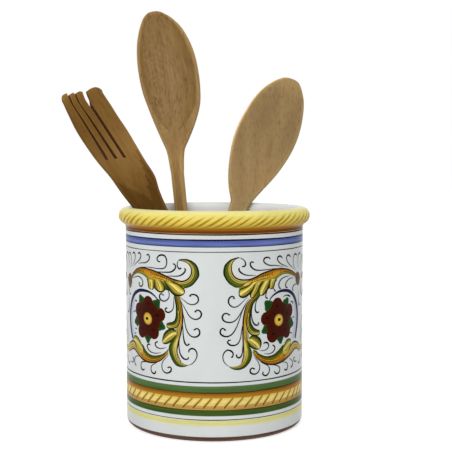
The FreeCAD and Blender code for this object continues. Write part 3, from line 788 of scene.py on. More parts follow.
leftScroll = {
    "leaves": [
        (((40, 131.6), (33, 129.8), (27.5, 126.9), (24.3, 126.1), (21.4, 126.8), (17.9, 128.6),
          (14.6, 131.4), (12.7, 135), (12, 138.6), (12.5, 141.8), (14.3, 145.4), (17.1, 147.9),
          (20.7, 149.3), (28.6, 149.4)),
         ((40, 134.8), (31.4, 132.1), (27.9, 131.6), (24.3, 131.8), (21.1, 133.4), (18.9, 136),
          (17.9, 138.9), (18, 142.1), (19.3, 145), (21.8, 147.1), (25, 148.3), (28.6, 148.8)),
         "hookEnd", "hook"),
        (((30, 132), (35.7, 133.5), (40, 134.9), (44.3, 136.3), (48.6, 137.6), (52.9, 138.7), (57.1, 139.4),
          (61.4, 139.9)),
         ((27, 127), (32, 127), (38, 128.4), (44, 129.4), (50, 130), (55, 130), (59, 130), (63, 132.3)),
         "bodyStart", "body"),
        (((61.4, 139.9), (65.7, 140.3), (70, 140.3), (74.3, 139.5), (78.6, 138.3), (82.9, 136.3),
          (87.1, 133.9), (91.4, 131.4)),
         ((63, 132.3), (67.1, 134.1), (71.4, 134.9), (75.7, 134.9), (80, 133.9), (84.3, 132.1),
          (88.6, 129.3), (92.1, 126.4)), "body", "bodyEnd"),
        (((24, 127), (32, 129), (42, 130.6), (52, 131.4), (63, 133)),
         ((24.4, 122.6), (31, 121.4), (38, 123.4), (44, 124), (51, 124.6), (57.6, 125.4), (62.4, 131)),
         "web", "web"),
        (((30.6, 124), (28.6, 119.3), (27.1, 115.7), (26.1, 110.7), (25.4, 105.7), (25.4, 100.7),
          (25.7, 95.7)),
         ((36, 124), (33.2, 120), (32.1, 116.4), (31.1, 111.4), (30.9, 106.4), (31.2, 101.4), (32, 97)),
         "stemTop", "stemJoin"),
        (((36, 131.5), (29, 129), (26.4, 127.1), (24.6, 125.7), (23.6, 123.9), (24.1, 121.8)),
         ((43, 131), (38.6, 126), (35.7, 122.5), (32.9, 120.4), (29.3, 119.9), (26.4, 120.4), (24.5, 121.4)),
         "lobe", "lobe"),
        (((46, 131.5), (43, 128), (42.1, 124.3), (43.6, 122.5), (46.4, 122)),
         ((55, 131.5), (54, 127.5), (52.5, 124.5), (50, 122.9), (47.5, 122.1)), "lobeDark", "lobe"),
        (((53, 131), (53.6, 126.5), (54.5, 123.6), (56.4, 123.2)),
         ((62, 131.5), (60.7, 127.8), (60.1, 125), (58.6, 123.7), (57, 123.2)), "lobeGold", "lobeGold"),
        (((25.4, 100.7), (25.7, 95.7), (26.8, 90.7), (28.2, 85.7), (29.3, 81.4)),
         ((31, 97), (31.6, 93), (32, 89), (32.4, 85), (35.6, 81.6)), "stemMid", "stemLow"),
        (((29.3, 81.4), (30, 77.1), (30.4, 74.3), (30, 70.7), (28.6, 67.1), (25, 64.3), (20.7, 63)),
         ((35.6, 81.6), (37.5, 79.3), (38.4, 75.7), (37.9, 72.1), (36.4, 68.6), (34.3, 65), (31.4, 62.1),
          (27.9, 61.1), (24.3, 61.4), (20.9, 62.7)), "stemLow", "stemEnd"),
        (((30.9, 108), (31.1, 103), (32.2, 99.6), (34.6, 97.6), (37.6, 96.9), (39.6, 96.3), (40.4, 95)),
         ((28.4, 107), (27.9, 101), (28.9, 96.4), (31, 93.8), (34, 92.7), (37.6, 92.3), (39.6, 93.2),
          (40.3, 94.6)), "frond", "frond"),
        (((31.5, 91), (35.7, 92.1), (39.3, 90.7), (42.1, 87.9), (43.9, 84.3), (44.6, 80.7)),
         ((31, 87), (33.6, 83.6), (36.4, 81.4), (40, 79.6), (42.9, 79.3), (44.4, 80.2)), "bud", "bud"),
        (((38.6, 75.7), (40.7, 73.2), (44.3, 70.7), (48.6, 69.1), (53.6, 68.2), (57.9, 68.4), (61.4, 69.6),
          (65, 72.1), (67.6, 75), (70, 75.6), (71.5, 74)),
         ((38.9, 71.4), (42.1, 67.9), (46.4, 65), (50.7, 63.2), (55.7, 62.1), (60.7, 61.8), (65.7, 62.3),
          (70.7, 63.6), (75.7, 66.1)), "branch", "branch"),
        (((69, 74.6), (72.9, 77.9), (76.4, 80.4), (80, 81.3), (83.6, 80.7), (84.6, 78)),
         ((68, 66), (72, 67.4), (76, 69.6), (80, 72), (83, 74.6), (84.6, 77.2)), "finger", "finger"),
        (((70, 71), (76, 72), (81, 74.5), (85, 76.2), (90, 75.4), (95.7, 73.6), (100, 71.8), (106, 70.2),
          (116, 69.6), (128.6, 69.4)),
         ((70.7, 63.6), (75.7, 66.1), (80, 68.6), (84.3, 69.6), (89.3, 68.9), (94.3, 67.1), (100, 65.4),
          (106, 65.2), (116, 66), (128.6, 66.4)), "branchEnd", "fingerEnd"),
        (((107, 129.6), (110, 131.6), (114, 132.8), (120, 132.6), (128.6, 131.4)),
         ((107, 128.8), (110, 127.6), (114, 127.4), (120, 128), (128.6, 127.6)), "body", "bodyStart"),
    ],
    "clasp": (((89, 128.6), (91, 132.4), (95, 133.8), (100.4, 131.8), (103.6, 129)),
              ((89, 126.4), (91, 122.6), (95, 120.8), (100.4, 123), (103.6, 128))),
    "arc": ((48.9, 114.3), (50.7, 116.4), (54.3, 118.9), (58.6, 120.6), (62.9, 121.3), (67.9, 121.4),
            (72.9, 120.9), (77.9, 119.3), (82.9, 116.8), (87.1, 113.2), (90.7, 108.6), (93.2, 102.9),
            (94.3, 97.1), (93.9, 91.4), (92.1, 85.7), (89.3, 80.7), (86.4, 77.8)),
    "rosette": {
        "centre": (61.5, 98.6), "eye": (61.4, 98.3), "pupil": (62.2, 98.3),
        "petals": ((60.8, 111.2, 6.3), (47.4, 102.8, 6.0), (54, 87.6, 6.0), (69.4, 87.4, 6.2),
                   (74.2, 104, 6.5)),
        "leaflets": ((70.2, 112.6, 5.2), (51, 111, 5.2), (46.6, 93.8, 5.0), (78, 94.2, 4.8),
                     (61.2, 82.8, 4.8)),
        "spots": ((60.7, 111.1), (49.6, 102.1), (55, 89.3), (69.6, 89.3), (75, 103.6)),
    },
    "outlines": [
        ((28.6, 148.7), (25, 148.2), (21.8, 147.1), (19.3, 145), (18, 142.1), (17.9, 138.9), (18.9, 136.1),
         (21.1, 133.6), (24.3, 132), (28, 131.8), (35.7, 133.6), (44.3, 136.4), (52.9, 138.8), (61.4, 140),
         (70, 140.4), (78.6, 138.4), (87, 133.9)),
        ((28.6, 149.4), (20.7, 149.4), (14.3, 145.4), (12, 139), (12.7, 135), (17.9, 128.6), (24.3, 126.1)),
        ((38.6, 125.8), (35.5, 122.3), (31, 120), (26.4, 120.3), (23.8, 122.6)),
        ((42.8, 127.6), (42.1, 124.3), (45, 122), (50, 122.9), (53.6, 126.4)),
        ((33.2, 119.6), (31.1, 111.4), (31.1, 103), (33.6, 97.7), (39.4, 96.5)),
        ((28.4, 119), (26.1, 110.7), (25.4, 101), (26.8, 90.7), (29.3, 81.4), (30.4, 73), (27, 65.6)),
        ((32, 91.4), (35.7, 92.2), (42.1, 88), (44.6, 81.4)),
        ((38.9, 71.4), (46.4, 65), (55.7, 62), (65.7, 62.2), (75.7, 66), (84.3, 69.6), (94, 67.2),
         (100, 65)),
        ((79, 71.6), (82, 75), (86, 76.3), (93, 74.6), (100, 71.8)),
    ],
    "tendrils": [
        ((28.8, 149), (30, 146.6), (29.8, 143.6), (28, 141.8), (26.6, 142.8)),
        ((41, 135.4), (36, 135.6), (30, 135.8), (26, 137.2), (23.4, 139.8), (23, 141.6), (24, 142.4)),
        ((58, 139.9), (50, 138.4), (42, 138.4), (36, 139), (33, 140.8), (31.6, 143), (32.2, 145.2),
         (34, 145.6)),
        ((68, 141), (58, 141.4), (50, 141), (44, 141.3), (41, 143), (39.9, 146), (40.3, 149.5), (42, 151.9),
         (45, 152.4), (48, 151.5), (49.8, 149.4), (49.2, 147.4), (47.4, 146.7)),
        ((75, 143.3), (70, 144.2), (64, 144.9), (60.5, 146.6), (58.8, 149), (59.3, 151.4), (61, 151.9),
         (62.3, 150.9)),
        ((84, 140.6), (79, 143.4), (74, 146), (71, 149), (71.3, 151.5), (73.3, 152.6), (75.5, 151.5)),
        ((88, 140), (83, 144.3), (81, 147.8), (81.4, 151), (84, 152), (86.5, 150.8)),
        ((93, 138.4), (90.6, 143), (91, 147.8), (94, 151), (98, 150.4)),
        ((99, 137.4), (98, 142.6), (100, 148), (104.4, 150.8), (109, 149.6)),
        ((93, 124), (96.4, 121.6), (97.6, 118), (95.8, 115.4), (93.2, 116.2)),
        ((100, 112), (98.4, 107), (99, 102), (101.6, 99.4), (104.4, 100.4)),
        ((88, 129.6), (82, 131.3), (76, 132.5), (71, 131.6), (68.2, 129), (68.3, 126), (70.5, 124.5),
         (73.3, 125), (74.3, 126.8)),
        ((41.4, 128.6), (40, 126), (38.2, 123), (37.6, 119.5), (38.8, 116.6), (42, 114.6), (45.3, 115),
         (47.2, 117), (46.8, 119.8), (44.4, 120.6)),
        ((33.6, 118), (33.4, 113), (33.8, 109.5), (35.5, 106.9), (38.5, 105.5), (41, 106.3), (41.5, 108.3),
         (40, 109.3)),
        ((29, 119.6), (25, 116.8), (21.5, 114.2), (18, 113), (14.5, 113.7), (12.3, 116), (12.5, 119),
         (14.5, 121), (17.5, 121.3), (19.4, 120.2)),
        ((28, 117.4), (25.5, 113), (22.5, 108), (20, 104), (17, 101.6), (13.5, 101.1), (10.6, 102.8),
         (9.7, 105.5), (11, 108), (13.5, 108.5), (14.9, 107)),
        ((26, 109), (24.3, 102), (23, 95), (21, 90), (18, 87), (14.5, 86.6), (11.8, 88.2), (11.1, 91),
         (12.5, 93.3), (14.9, 93.3)),
        ((25.4, 98), (25.2, 92), (24.8, 86), (23.7, 81.6), (22, 79.4), (20.2, 80)),
        ((26.8, 92), (28.2, 85), (28.8, 79), (28, 73), (26, 69.5), (23.5, 67.9), (21, 68.3), (20.6, 69.7)),
        ((22, 63.1), (18.5, 63.8), (15.5, 66.5), (13.6, 70), (13.5, 73.5), (15.4, 76.4), (18, 76.9),
         (20.2, 75.3), (20, 73.7)),
        ((38.4, 70.6), (41, 67.5), (44, 64.5), (45.2, 61), (44.6, 57.5), (42, 55.3), (39, 55.3), (36.4, 57),
         (36, 59.4), (37.6, 60.4), (38.9, 59.6)),
        ((49, 63.6), (53, 61.4), (56.3, 59.5), (57.5, 57), (56.5, 54), (54, 53), (52, 54), (52.4, 55.5)),
        ((60, 61.6), (66, 61.3), (70, 60.5), (71.5, 58), (70.8, 55), (68.5, 54), (66, 55)),
        ((74, 64.8), (79, 64.3), (82, 62.8), (83.5, 60.5), (82.8, 57.3), (80, 56)),
        ((94, 58), (89, 57.4), (86, 58.8), (86.4, 61.2), (88.6, 61.6)),
        ((104, 63), (105.4, 59.6), (103.6, 56.4), (100, 55.2), (97.4, 56.8)),
        ((40.6, 76.4), (45, 75), (49.4, 75.1), (52.2, 77), (51.6, 79.4), (49.3, 80.2)),
        ((46, 71.4), (52, 70.3), (57, 70.6), (60.5, 72.4), (62.2, 75), (60.5, 76.9), (58, 76.8)),
        ((82.4, 110.6), (80.4, 111.3), (78, 111.4)),
        ((85.7, 101), (80.9, 102.8)),
        ((82.4, 87.8), (78.6, 87.5)),
        ((83, 83), (80, 84)),
    ],
    "seeds": ((73.4, 127.2), (43.7, 119.6), (40.2, 108.9), (18.9, 120), (14.6, 107.2), (15.3, 92.6),
              (38.7, 59.8), (47.3, 146.8), (20.3, 80.4)),
}

# tendrils on the side of the crock, alike on both scrolls
sideTendrils = [
    ((108, 134.6), (106.6, 139), (108, 144), (112, 147.4), (116.4, 146.6), (118, 143.2), (116, 141)),
    ((118, 134), (119.4, 138.4), (122.6, 141.6), (126, 141), (126.6, 138.2)),
    ((107, 125.6), (105.4, 120.6), (107, 115.4), (111, 113), (114.6, 114.6), (114.8, 118)),
    ((119, 127), (118.4, 121.4), (120.4, 116), (124.4, 113.6), (127.4, 115.4)),
    ((108, 71.4), (108.6, 77), (111.6, 81.6), (116, 82.6), (119, 79.8), (117.6, 76.8)),
    ((104, 72.6), (105.4, 82), (109.6, 90), (115.4, 94), (121, 93), (123, 88.6), (120.4, 86)),
    ((112, 65), (113.6, 60), (117.6, 57), (121.6, 58), (121.8, 61.4)),
]

scrollLook = {
    "ink": "0c0e12", "thinInk": "2c2e34", "outline": "181407", "leafLine": "1e2808",
    "navy": "101034", "navyEnd": "1c1e50", "hatch": "5e3006", "vein": "46380a",
    "petal": "3d0c00", "petalEdge": "471100", "petalSeam": "290900", "spot": "0c0404",
    "leaflet": "184014", "leafletEdge": "2a5424", "eye": "d8b648", "eyeRim": "8a5a20", "pupil": "120a04",
    "line": 0.86, "rise": 0.9, "drawnIn": 5.2, "drawnAt": 100, "drawnTo": 104,
    "washWidth": 8.5, "hatchCount": 16, "petalsJoin": 14.8,
    "spotSize": 1.15, "eyeSize": 5.4, "pupilSize": 1.55, "seedSize": 0.75,
    "outlined": ("lobe", "lobeDark", "lobeGold", "frond", "bud", "finger"),
    "hatched": ("bodyStart", "body", "branch"),
}
# widths of brush lines in millimetres, from start to end
strokeWidths = {
    "hatch": (0.6, 0.45, 0.15), "vein": (0.15, 0.5, 0.55, 0.15), "seam": (0.2, 0.7, 0.9),
    "leafLine": (0.4, 0.9, 1.0, 0.9, 0.6), "outline": (0.5, 1.15, 1.3, 1.05, 0.5),
    "arc": (0.9, 1.8, 2.5, 3.0, 3.6, 4.4, 4.8, 4.2, 3.0),
    "tendril": [share * scrollLook["line"] for share in (0.3, 0.8, 1.0, 1.3, 1.7, 1.2)],
}
# millimetres of glaze under each kind of stroke, so that later strokes lie on earlier ones
strokeLifts = {
    "wash": 0.03, "leaf": 0.04, "leafLine": 0.0408, "nextLeaf": 0.0016, "leaflet": 0.06, "arc": 0.06,
    "clasp": 0.07, "petal": 0.08, "vein": 0.08, "hatch": 0.085, "seam": 0.09, "outline": 0.095,
    "tendril": 0.1, "spot": 0.1, "eye": 0.1, "seed": 0.11, "pupil": 0.12,
}
# one quarter of the texture sheet: what it shows in millimetres, its size and margin on the sheet
scrollSheet = {"wide": 130, "low": 48, "high": 156, "size": 0.46, "margin": 0.02}
sideLine = math.pi / 2 * crock["radius"]  # where front and back scrolls meet


def scrollCopies():
    # the two front scrolls, each once more in mirror image on the back
    for scroll, hand in ((rightScroll, 1), (leftScroll, -1)):
        for back in (False, True):
            yield {"scroll": scroll, "hand": hand, "back": back}


def onWall(copy, point, lift, colour):
    # points far from the front are drawn in a little
    out, up = point
    look, sheet = scrollLook, scrollSheet
    along = copy["hand"] * (out - look["drawnIn"] * (min(out, look["drawnTo"]) / look["drawnAt"]) ** 5)
    if copy["back"]:
        along = 2 * copy["hand"] * sideLine - along
    # each copy has its own quarter of the texture sheet
    u = out / sheet["wide"] * sheet["size"] + sheet["margin"] + (0.5 if copy["back"] else 0)
    v = (up - sheet["low"]) / (sheet["high"] - sheet["low"]) * sheet["size"] + sheet["margin"]
    v += 0.5 if copy["hand"] > 0 else 0
    return wallPoint(along, up + look["rise"], lift), colour, (u, v)


def addLeaf(layer, copy, edge, facing, first, last, lift):
    # surface between two edges, its colours across it changing along it
    rows = max(len(curveThrough(edge, 1.1)), len(curveThrough(facing, 1.1)), 8)
    a, b = curveThrough(edge, 1, rows), curveThrough(facing, 1, rows)
    columns = 10
    grid = []
    for i in range(rows):
        share = i / (rows - 1)
        row = []
        for j in range(columns + 1):
            across = j / columns
            colour = blend(spread(leafTones[first], across), spread(leafTones[last], across), share)
            row.append(onWall(copy, blend(a[i], b[i], across), lift, colour))
        grid.append(row)
    addGrid(layer, grid)


def addHatch(layer, copy, edge, facing):
    # short slanting brush lines across the golden part of a leaf
    count = scrollLook["hatchCount"]
    a, b = curveThrough(edge, 1, 4 * count), curveThrough(facing, 1, 4 * count)
    for k in range(2, count - 2):
        top = blend(a[4 * k], b[4 * k], 0.12)
        low = blend(a[4 * k + 3], b[4 * k + 3], 0.5 + 0.1 * (k % 3))
        addLine(layer, copy, (top, blend(top, low, 0.5), low), "hatch", "hatch")


def addVeins(layer, copy, edge, facing, shares):
    # fine brush lines running along a leaf
    pairs = list(zip(curveThrough(edge, 1, 12), curveThrough(facing, 1, 12)))
    for share in shares:
        addLine(layer, copy, [blend(a, b, share) for a, b in pairs[1:10]], "vein", "vein")


def addLine(layer, copy, points, kind, ink, lastInk=None, rise=0.0):
    # brush line of one kind, in one ink or from one to another
    path = curveThrough(points, 0.55)
    first, last = tone(scrollLook[ink]), tone(scrollLook[lastInk or ink])
    widths = [(w,) for w in strokeWidths[kind]]
    lift = strokeLifts[kind] + rise
    count = len(path)
    grid = []
    for i, p in enumerate(path):
        before, after = path[max(i - 1, 0)], path[min(i + 1, count - 1)]
        dx, dz = after[0] - before[0], after[1] - before[1]
        size = math.hypot(dx, dz) or 1
        share = i / (count - 1)
        half = spread(widths, share)[0] / 2
        shade = blend(first, last, share)
        grid.append([onWall(copy, (p[0] - dz / size * half * s, p[1] + dx / size * half * s), lift, shade)
                     for s in (-1, 0, 1)])
    addGrid(layer, grid)


def addDab(layer, copy, centre, reach, kind, *inks):
    # rounded dab, its outline a reach for each direction, its inks from the middle outward
    stops = [tone(scrollLook[ink]) for ink in inks]
    rings, around = 8, 48
    grid = []
    for i in range(rings + 1):
        shade = spread(stops, i / rings)
        row = []
        for k in range(around + 1):
            a = 2 * math.pi * k / around
            r = reach(a) * i / rings
            place = (centre[0] + r * math.cos(a), centre[1] + r * math.sin(a))
            row.append(onWall(copy, place, strokeLifts[kind], shade))
        grid.append(row)
    addGrid(layer, grid)


def oval(size, swell, turn=0.0):
    # reach of a nearly round dab
    return lambda a: size + swell * math.cos(2 * a + turn)


def petalReach(rosette):
    # edge of overlapping round petals about the middle of the rosette
    cx, cz = rosette["centre"]

    def reach(a):
        far = scrollLook["petalsJoin"]  # the petals run together inside this
        for x, z, r in rosette["petals"]:
            dx, dz = x - cx, z - cz
            along = dx * math.cos(a) + dz * math.sin(a)
            off = dx * dx + dz * dz - along * along
            if along > 0 and off < r * r:
                far = max(far, along + math.sqrt(r * r - off))
        return far
    return reach


def leafletReach(size, out):
    # three cornered leaf, longest at its tip, which points out from the middle
    def reach(a):
        a -= out
        lobes = 0.05 * math.cos(3 * a) + 0.07 * math.cos(4 * a)
        return size * (0.86 + lobes + 0.1 * max(math.cos(a), 0) ** 4)
    return reach


def addRosette(layer, copy, rosette):
    # leaflets behind, then petals with seams and dark spots, then the eye
    look = scrollLook
    cx, cz = rosette["centre"]
    for x, z, size in rosette["leaflets"]:
        reach = leafletReach(size, math.atan2(z - cz, x - cx))
        addDab(layer, copy, (x, z), reach, "leaflet", "leaflet", "leaflet", "leafletEdge")
    addDab(layer, copy, (cx, cz), petalReach(rosette), "petal", "petalSeam", "petal", "petal", "petalEdge")
    petals = [petal[:2] for petal in rosette["petals"]]
    for petal, beside in zip(petals, petals[1:] + petals[:1]):
        seam = blend(petal, beside, 0.5)
        inner = blend((cx, cz), seam, 0.45)
        addLine(layer, copy, (inner, blend(inner, seam, 0.6), seam), "seam", "petalSeam")
    for spot in rosette["spots"]:
        addDab(layer, copy, spot, oval(look["spotSize"], 0.25), "spot", "spot", "spot")
    eye = oval(look["eyeSize"], 0.25, 0.6 * copy["hand"])
    addDab(layer, copy, rosette["eye"], eye, "eye", "eye", "eye", "eye", "eyeRim")
    addDab(layer, copy, rosette["pupil"], oval(look["pupilSize"], 0.3), "pupil", "pupil", "pupil")


def addLeaves(leaves, lines, copy):
    # leaves one over the other, with their outlines, hatching and veins
    look, lifts = scrollLook, strokeLifts
    for n, (edge, facing, first, last) in enumerate(copy["scroll"]["leaves"]):
        rise = lifts["nextLeaf"] * n
        addLeaf(leaves, copy, edge, facing, first, last, lifts["leaf"] + rise)
        if first in look["outlined"]:
            for side in (edge, facing):
                addLine(leaves, copy, side, "leafLine", "leafLine", rise=rise)
        if first in look["hatched"]:
            addHatch(lines, copy, edge, facing)
        addVeins(lines, copy, edge, facing, leafVeins.get(first, ()))


def buildScrolls():
    look, lifts = scrollLook, strokeLifts
    leaves, flowers, lines = newLayer(), newLayer(), newLayer()
    for copy in scrollCopies():
        scroll = copy["scroll"]
        arcEnd = scroll["arc"][9:]
        washEdge = [(x - look["washWidth"], z) for x, z in arcEnd]
        addLeaf(leaves, copy, arcEnd, washEdge, "wash", "wash", lifts["wash"])
        addLeaves(leaves, lines, copy)
        addLeaf(leaves, copy, *scroll["clasp"], "clasp", "clasp", lifts["clasp"])
        addLine(flowers, copy, scroll["arc"], "arc", "navy", "navyEnd")
        addRosette(flowers, copy, scroll["rosette"])
        for points in scroll["outlines"]:
            addLine(lines, copy, points, "outline", "outline")
        for points in scroll["tendrils"] + sideTendrils:
            addLine(lines, copy, points, "tendril", "thinInk", "ink")
        for seed in scroll["seeds"]:
            addDab(lines, copy, seed, oval(look["seedSize"], 0.2), "seed", "ink", "ink")
    return [finishLayer("scrollLeaves", leaves, 0.35), finishLayer("scrollFlowers", flowers, 0.3),
            finishLayer("scrollLines", lines, 0.0)]


scrollPieces = buildScrolls()
print("scrolls:", sum(len(p.data.polygons) for p in scrollPieces), "faces")


# Wooden utensils, each in its own frame: across, to the back, along from the foot

# scales of the figure in all three woods, finest across the piece
woodGrain = {"broad": (90, 60, 9), "fleck": (600, 420, 150), "cloud": 38.0, "depth": 0.0002}


def addNear(tree, coords, x, z, wide, high):
    # 1 at one place on the piece, falling to 0 at an oval about it
    node = tree.nodes.new("ShaderNodeTexGradient")
    node.gradient_type = "SPHERICAL"
    place = addMapping(tree, coords, (1 / wide, 0, 1 / high), shift=(-x / wide, 0, -z / high))
    tree.links.new(place, node.inputs["Vector"])
    return node.outputs["Fac"]


def addRings(tree, coords, fleck, x, z, pitch, reach, depth):
    # growth rings about one place, drawn out along the grain, broken by flecks and fading outward
    along = 0.62
    wave = tree.nodes.new("ShaderNodeTexWave")
    wave.wave_type = "RINGS"
    wave.rings_direction = "Y"
    wave.inputs["Scale"].default_value = math.pi / (10 * pitch)
    wave.inputs["Distortion"].default_value = 9.0
    wave.inputs["Detail"].default_value = 3.0
    wave.inputs["Detail Scale"].default_value = 1.4
    around = addMapping(tree, coords, (1.0, 0.2, along), shift=(-x, 0, -along * z))
    tree.links.new(around, wave.inputs["Vector"])
    marks = addRange(tree, wave.outputs["Fac"], 0.45, 0.95, 0, depth)
    near = addRange(tree, addNear(tree, coords, x, z, reach, reach / along), 0.0, 0.45, 0, 1)
    marks = addMath(tree, "MULTIPLY", marks, near)
    return addMath(tree, "MULTIPLY", marks, addRange(tree, fleck, 0.4, 0.6, 0.4, 1.0))


def woodFinish(name, look):
    # grain along the piece, short dark flecks, fine pores, paler at sharp edges
    finish, tree, shader = newFinish(name)
    grainNode = tree.nodes.new("ShaderNodeAttribute")
    grainNode.attribute_name = "grain"
    coords = grainNode.outputs["Vector"]
    leant = addMapping(tree, coords, (1, 1, 1), (0, math.radians(look["lean"]), 0))
    broad = addNoise(tree, addMapping(tree, leant, woodGrain["broad"]), 1.0, 3.0, 0.55)
    fine = addNoise(tree, addMapping(tree, leant, look["lines"]), 1.0, 4.0, 0.6)
    fleck = addNoise(tree, addMapping(tree, leant, woodGrain["fleck"]), 1.0, 2.0)
    cloud = addNoise(tree, coords, woodGrain["cloud"], 2.0)
    grain = tone(look["grain"])
    base = addMix(tree, "MIX", spanNoise(tree, broad, 0, 1), tone(look["dark"]), tone(look["pale"]))
    base = addMix(tree, "MIX", addRange(tree, cloud, 0.45, 0.75, 0, 0.45), base, tone(look["warm"]))
    base = addMix(tree, "MIX", addRange(tree, fine, 0.5, 0.72, 0, look["line"]), base, grain)
    patch = addRange(tree, cloud, 0.4, 0.6, 0.3, 1.0)
    flecks = addMath(tree, "MULTIPLY", addRange(tree, fleck, 0.58, 0.7, 0, look["fleck"]), patch)
    base = addMix(tree, "MIX", flecks, base, grain)
    for x, z, wide, high, depth in look.get("stains", ()):
        # darker patch about one place, ragged at its edge
        near = addNear(tree, coords, x, z, wide, high)
        ragged = addMath(tree, "MULTIPLY", near, spanNoise(tree, fine, 0.5, 1.6))
        base = addMix(tree, "MIX", addRange(tree, ragged, 0.1, 0.6, 0, depth), base, grain)
    if "rings" in look:
        base = addMix(tree, "MIX", addRings(tree, coords, fleck, **look["rings"]), base, grain)
    edge = tree.nodes.new("ShaderNodeNewGeometry").outputs["Pointiness"]
    base = addMix(tree, "MIX", addRange(tree, edge, 0.51, 0.56, 0, look["edgePaling"]), base, tone(look["edge"]))
    # the colour is multiplied by the painted light and shade written in the corners of each piece
    paintedShading = tree.nodes.new("ShaderNodeAttribute")
    paintedShading.attribute_name = "paintedShading"
    base = addMix(tree, "MULTIPLY", 1.0, base, paintedShading.outputs["Color"])
    tree.links.new(base, shader.inputs["Base Color"])
    tree.links.new(spanNoise(tree, fine, 0.5, 0.68), shader.inputs["Roughness"])
    shader.inputs["Specular IOR Level"].default_value = look["shine"]
    height = addMath(tree, "ADD", fine, addMath(tree, "MULTIPLY", fleck, 0.6))
    addBump(tree, shader, height, 0.35, woodGrain["depth"])
    return finish


# handle: share of it that is straight, its rounded foot as shares of its width, sections at the foot
handleEnd = 0.92
footShares = [(0, 0.5), (0.003, 0.68), (0.008, 0.84), (0.022, 0.98), (0.05, 1), (handleEnd, 1), (1, 1)]
footPlaces = (0, 0.002, 0.005, 0.01, 0.018, 0.03, 0.05)
# how every head goes from neck to tip, which is rounded over
headShape = {"grownAt": 0.25, "thinned": 0.55, "bendPower": 8, "tipLength": 2.4, "tipShare": 0.55}

# sizes in millimetres
# outline: share along the head, then its reach to the left and right as shares of half the width
# painted light and shade on the wood: where a change of it sets in, where it is full and how strong it is
spoon = {
    "length": 362.8, "head": 134.2, "width": 60.0, "thick": 13.0, "edge": 5.0, "neck": (12.4, 12.0),
    "foot": (11.2, 10.0), "sideShare": 0.66, "dish": 7.0, "bend": 0.0, "leastRim": 0.3, "leastDish": 0.4,
    "place": (-14.0, 46.0, 8.641), "axis": (-0.09846, 0.06452, 0.99305), "across": (0.9846, -0.1389, 0.1066),
    "outline": [
        (0.0, 0.25, 0.25), (0.02, 0.27, 0.3), (0.09, 0.37, 0.47), (0.2, 0.53, 0.73), (0.32, 0.69, 0.93),
        (0.44, 0.83, 0.99), (0.56, 0.9, 0.98), (0.68, 0.91, 0.91), (0.79, 0.86, 0.76), (0.88, 0.75, 0.55),
        (0.95, 0.61, 0.265), (0.975, 0.52, 0.105), (0.987, 0.455, 0.02), (0.995, 0.385, -0.07),
        (1.0, 0.27, -0.18),
    ],
    # edge of the dish as the outline is written, then its depth as a share of the dish
    "dishEdge": [
        (0.16, 0.06, 0.2, 0.0), (0.21, 0.28, 0.43, 0.3), (0.29, 0.49, 0.72, 0.74), (0.42, 0.69, 0.87, 1.0),
        (0.56, 0.79, 0.87, 1.0), (0.7, 0.8, 0.76, 0.94), (0.82, 0.71, 0.58, 0.72), (0.9, 0.61, 0.38, 0.44),
        (0.95, 0.5, 0.15, 0.2), (0.975, 0.4, 0.0, 0.0),
    ],
    "wood": {"dark": "80602f", "pale": "937545", "warm": "88622e", "grain": "52371a", "edge": "b69a68",
             "line": 0.56, "lines": (820, 560, 60), "fleck": 0.66, "edgePaling": 0.6, "lean": 4.0, "shine": 0.25,
             "rings": {"x": -0.0115, "z": 0.294, "pitch": 0.0034, "reach": 0.036, "depth": 0.27}},
    "paintedShading": {"neck": (262, 222, 0.42), "tip": (300, 340, 0.3), "side": 1.12, "rim": 1.18, "end": 1.1,
             "rightWall": (0.5, 0.98, 0.2), "leftWall": (-0.8, -1.0, 0.22)},
}
fork = {
    "length": 332.8, "head": 142.0, "width": 41.0, "thick": 7.5, "edge": 5.0, "neck": (21.0, 12.0),
    "foot": (14.0, 10.0), "sideShare": 0.6, "bend": 5.0,
    "place": (52.0, 0.0, 10.233), "axis": (-0.52302, 0.04693, 0.85103), "across": (0.8179, 0.3087, 0.4856),
    "outline": [
        (0.0, 0.52, 0.53), (0.05, 0.56, 0.59), (0.19, 0.69, 0.73), (0.29, 0.78, 0.89), (0.41, 0.83, 0.88),
        (0.53, 0.965, 0.89), (0.65, 1.025, 0.9), (0.78, 1.035, 0.87), (0.9, 0.955, 0.865),
        (0.96, 0.9, 0.855), (1.0, 0.85, 0.87),
    ],
    # saw slots: edges at tips and roots, how they lean, turn at the tips and slant through the wood
    "slotLength": 73.3, "slotTips": ((-9.7, -9.0), (-4.1, -3.4), (2.6, 5.1)),
    "slotRoots": ((-12.9, -10.2), (-5.6, -2.8), (1.7, 4.3)), "slotLean": 0.42, "leanFade": 60.0,
    "curl": 2.2, "curlLength": 11.0, "runEnd": 5.0, "mouth": (13.0, 6.0),
    "skew": 1.8, "skewFade": 12.0, "skewSide": 6.0,
    # tines from the left: how far short of the full length, corner roundings, columns of faces
    "drops": (-1.4, 1.2, 2.9, 5.8), "roundings": ((5.6, 0.7), (0.7, 0.7), (0.7, 2.6), (3.6, 6.5)),
    "columns": (5, 4, 4, 6), "rows": 30, "pinch": 0.3, "pinchLength": 4.0, "softEdge": 0.35,
    "wood": {"dark": "755325", "pale": "8a6836", "warm": "795327", "grain": "4f3517", "edge": "a27e4a",
             "line": 0.3, "lines": (500, 340, 20), "fleck": 0.5, "edgePaling": 0.3, "lean": 0.0, "shine": 0.08},
    "paintedShading": {"leftLevel": 0.92, "across": (-18, 16, 0.2), "headLevel": 1.08, "neck": (262, 222, -0.42),
             "slots": (262, 296, -0.3), "tips": (322, 331, 0.22), "ends": (329, 332.5, 0.3),
             "leftFacet": (246, 214, 1.25), "rightFacet": (268, 216, 0.7), "facet": 0.7,
             "left": 0.8, "right": 1.12, "lastWidth": 330, "slotWall": (0.46, 0.3, 0.06)},
}
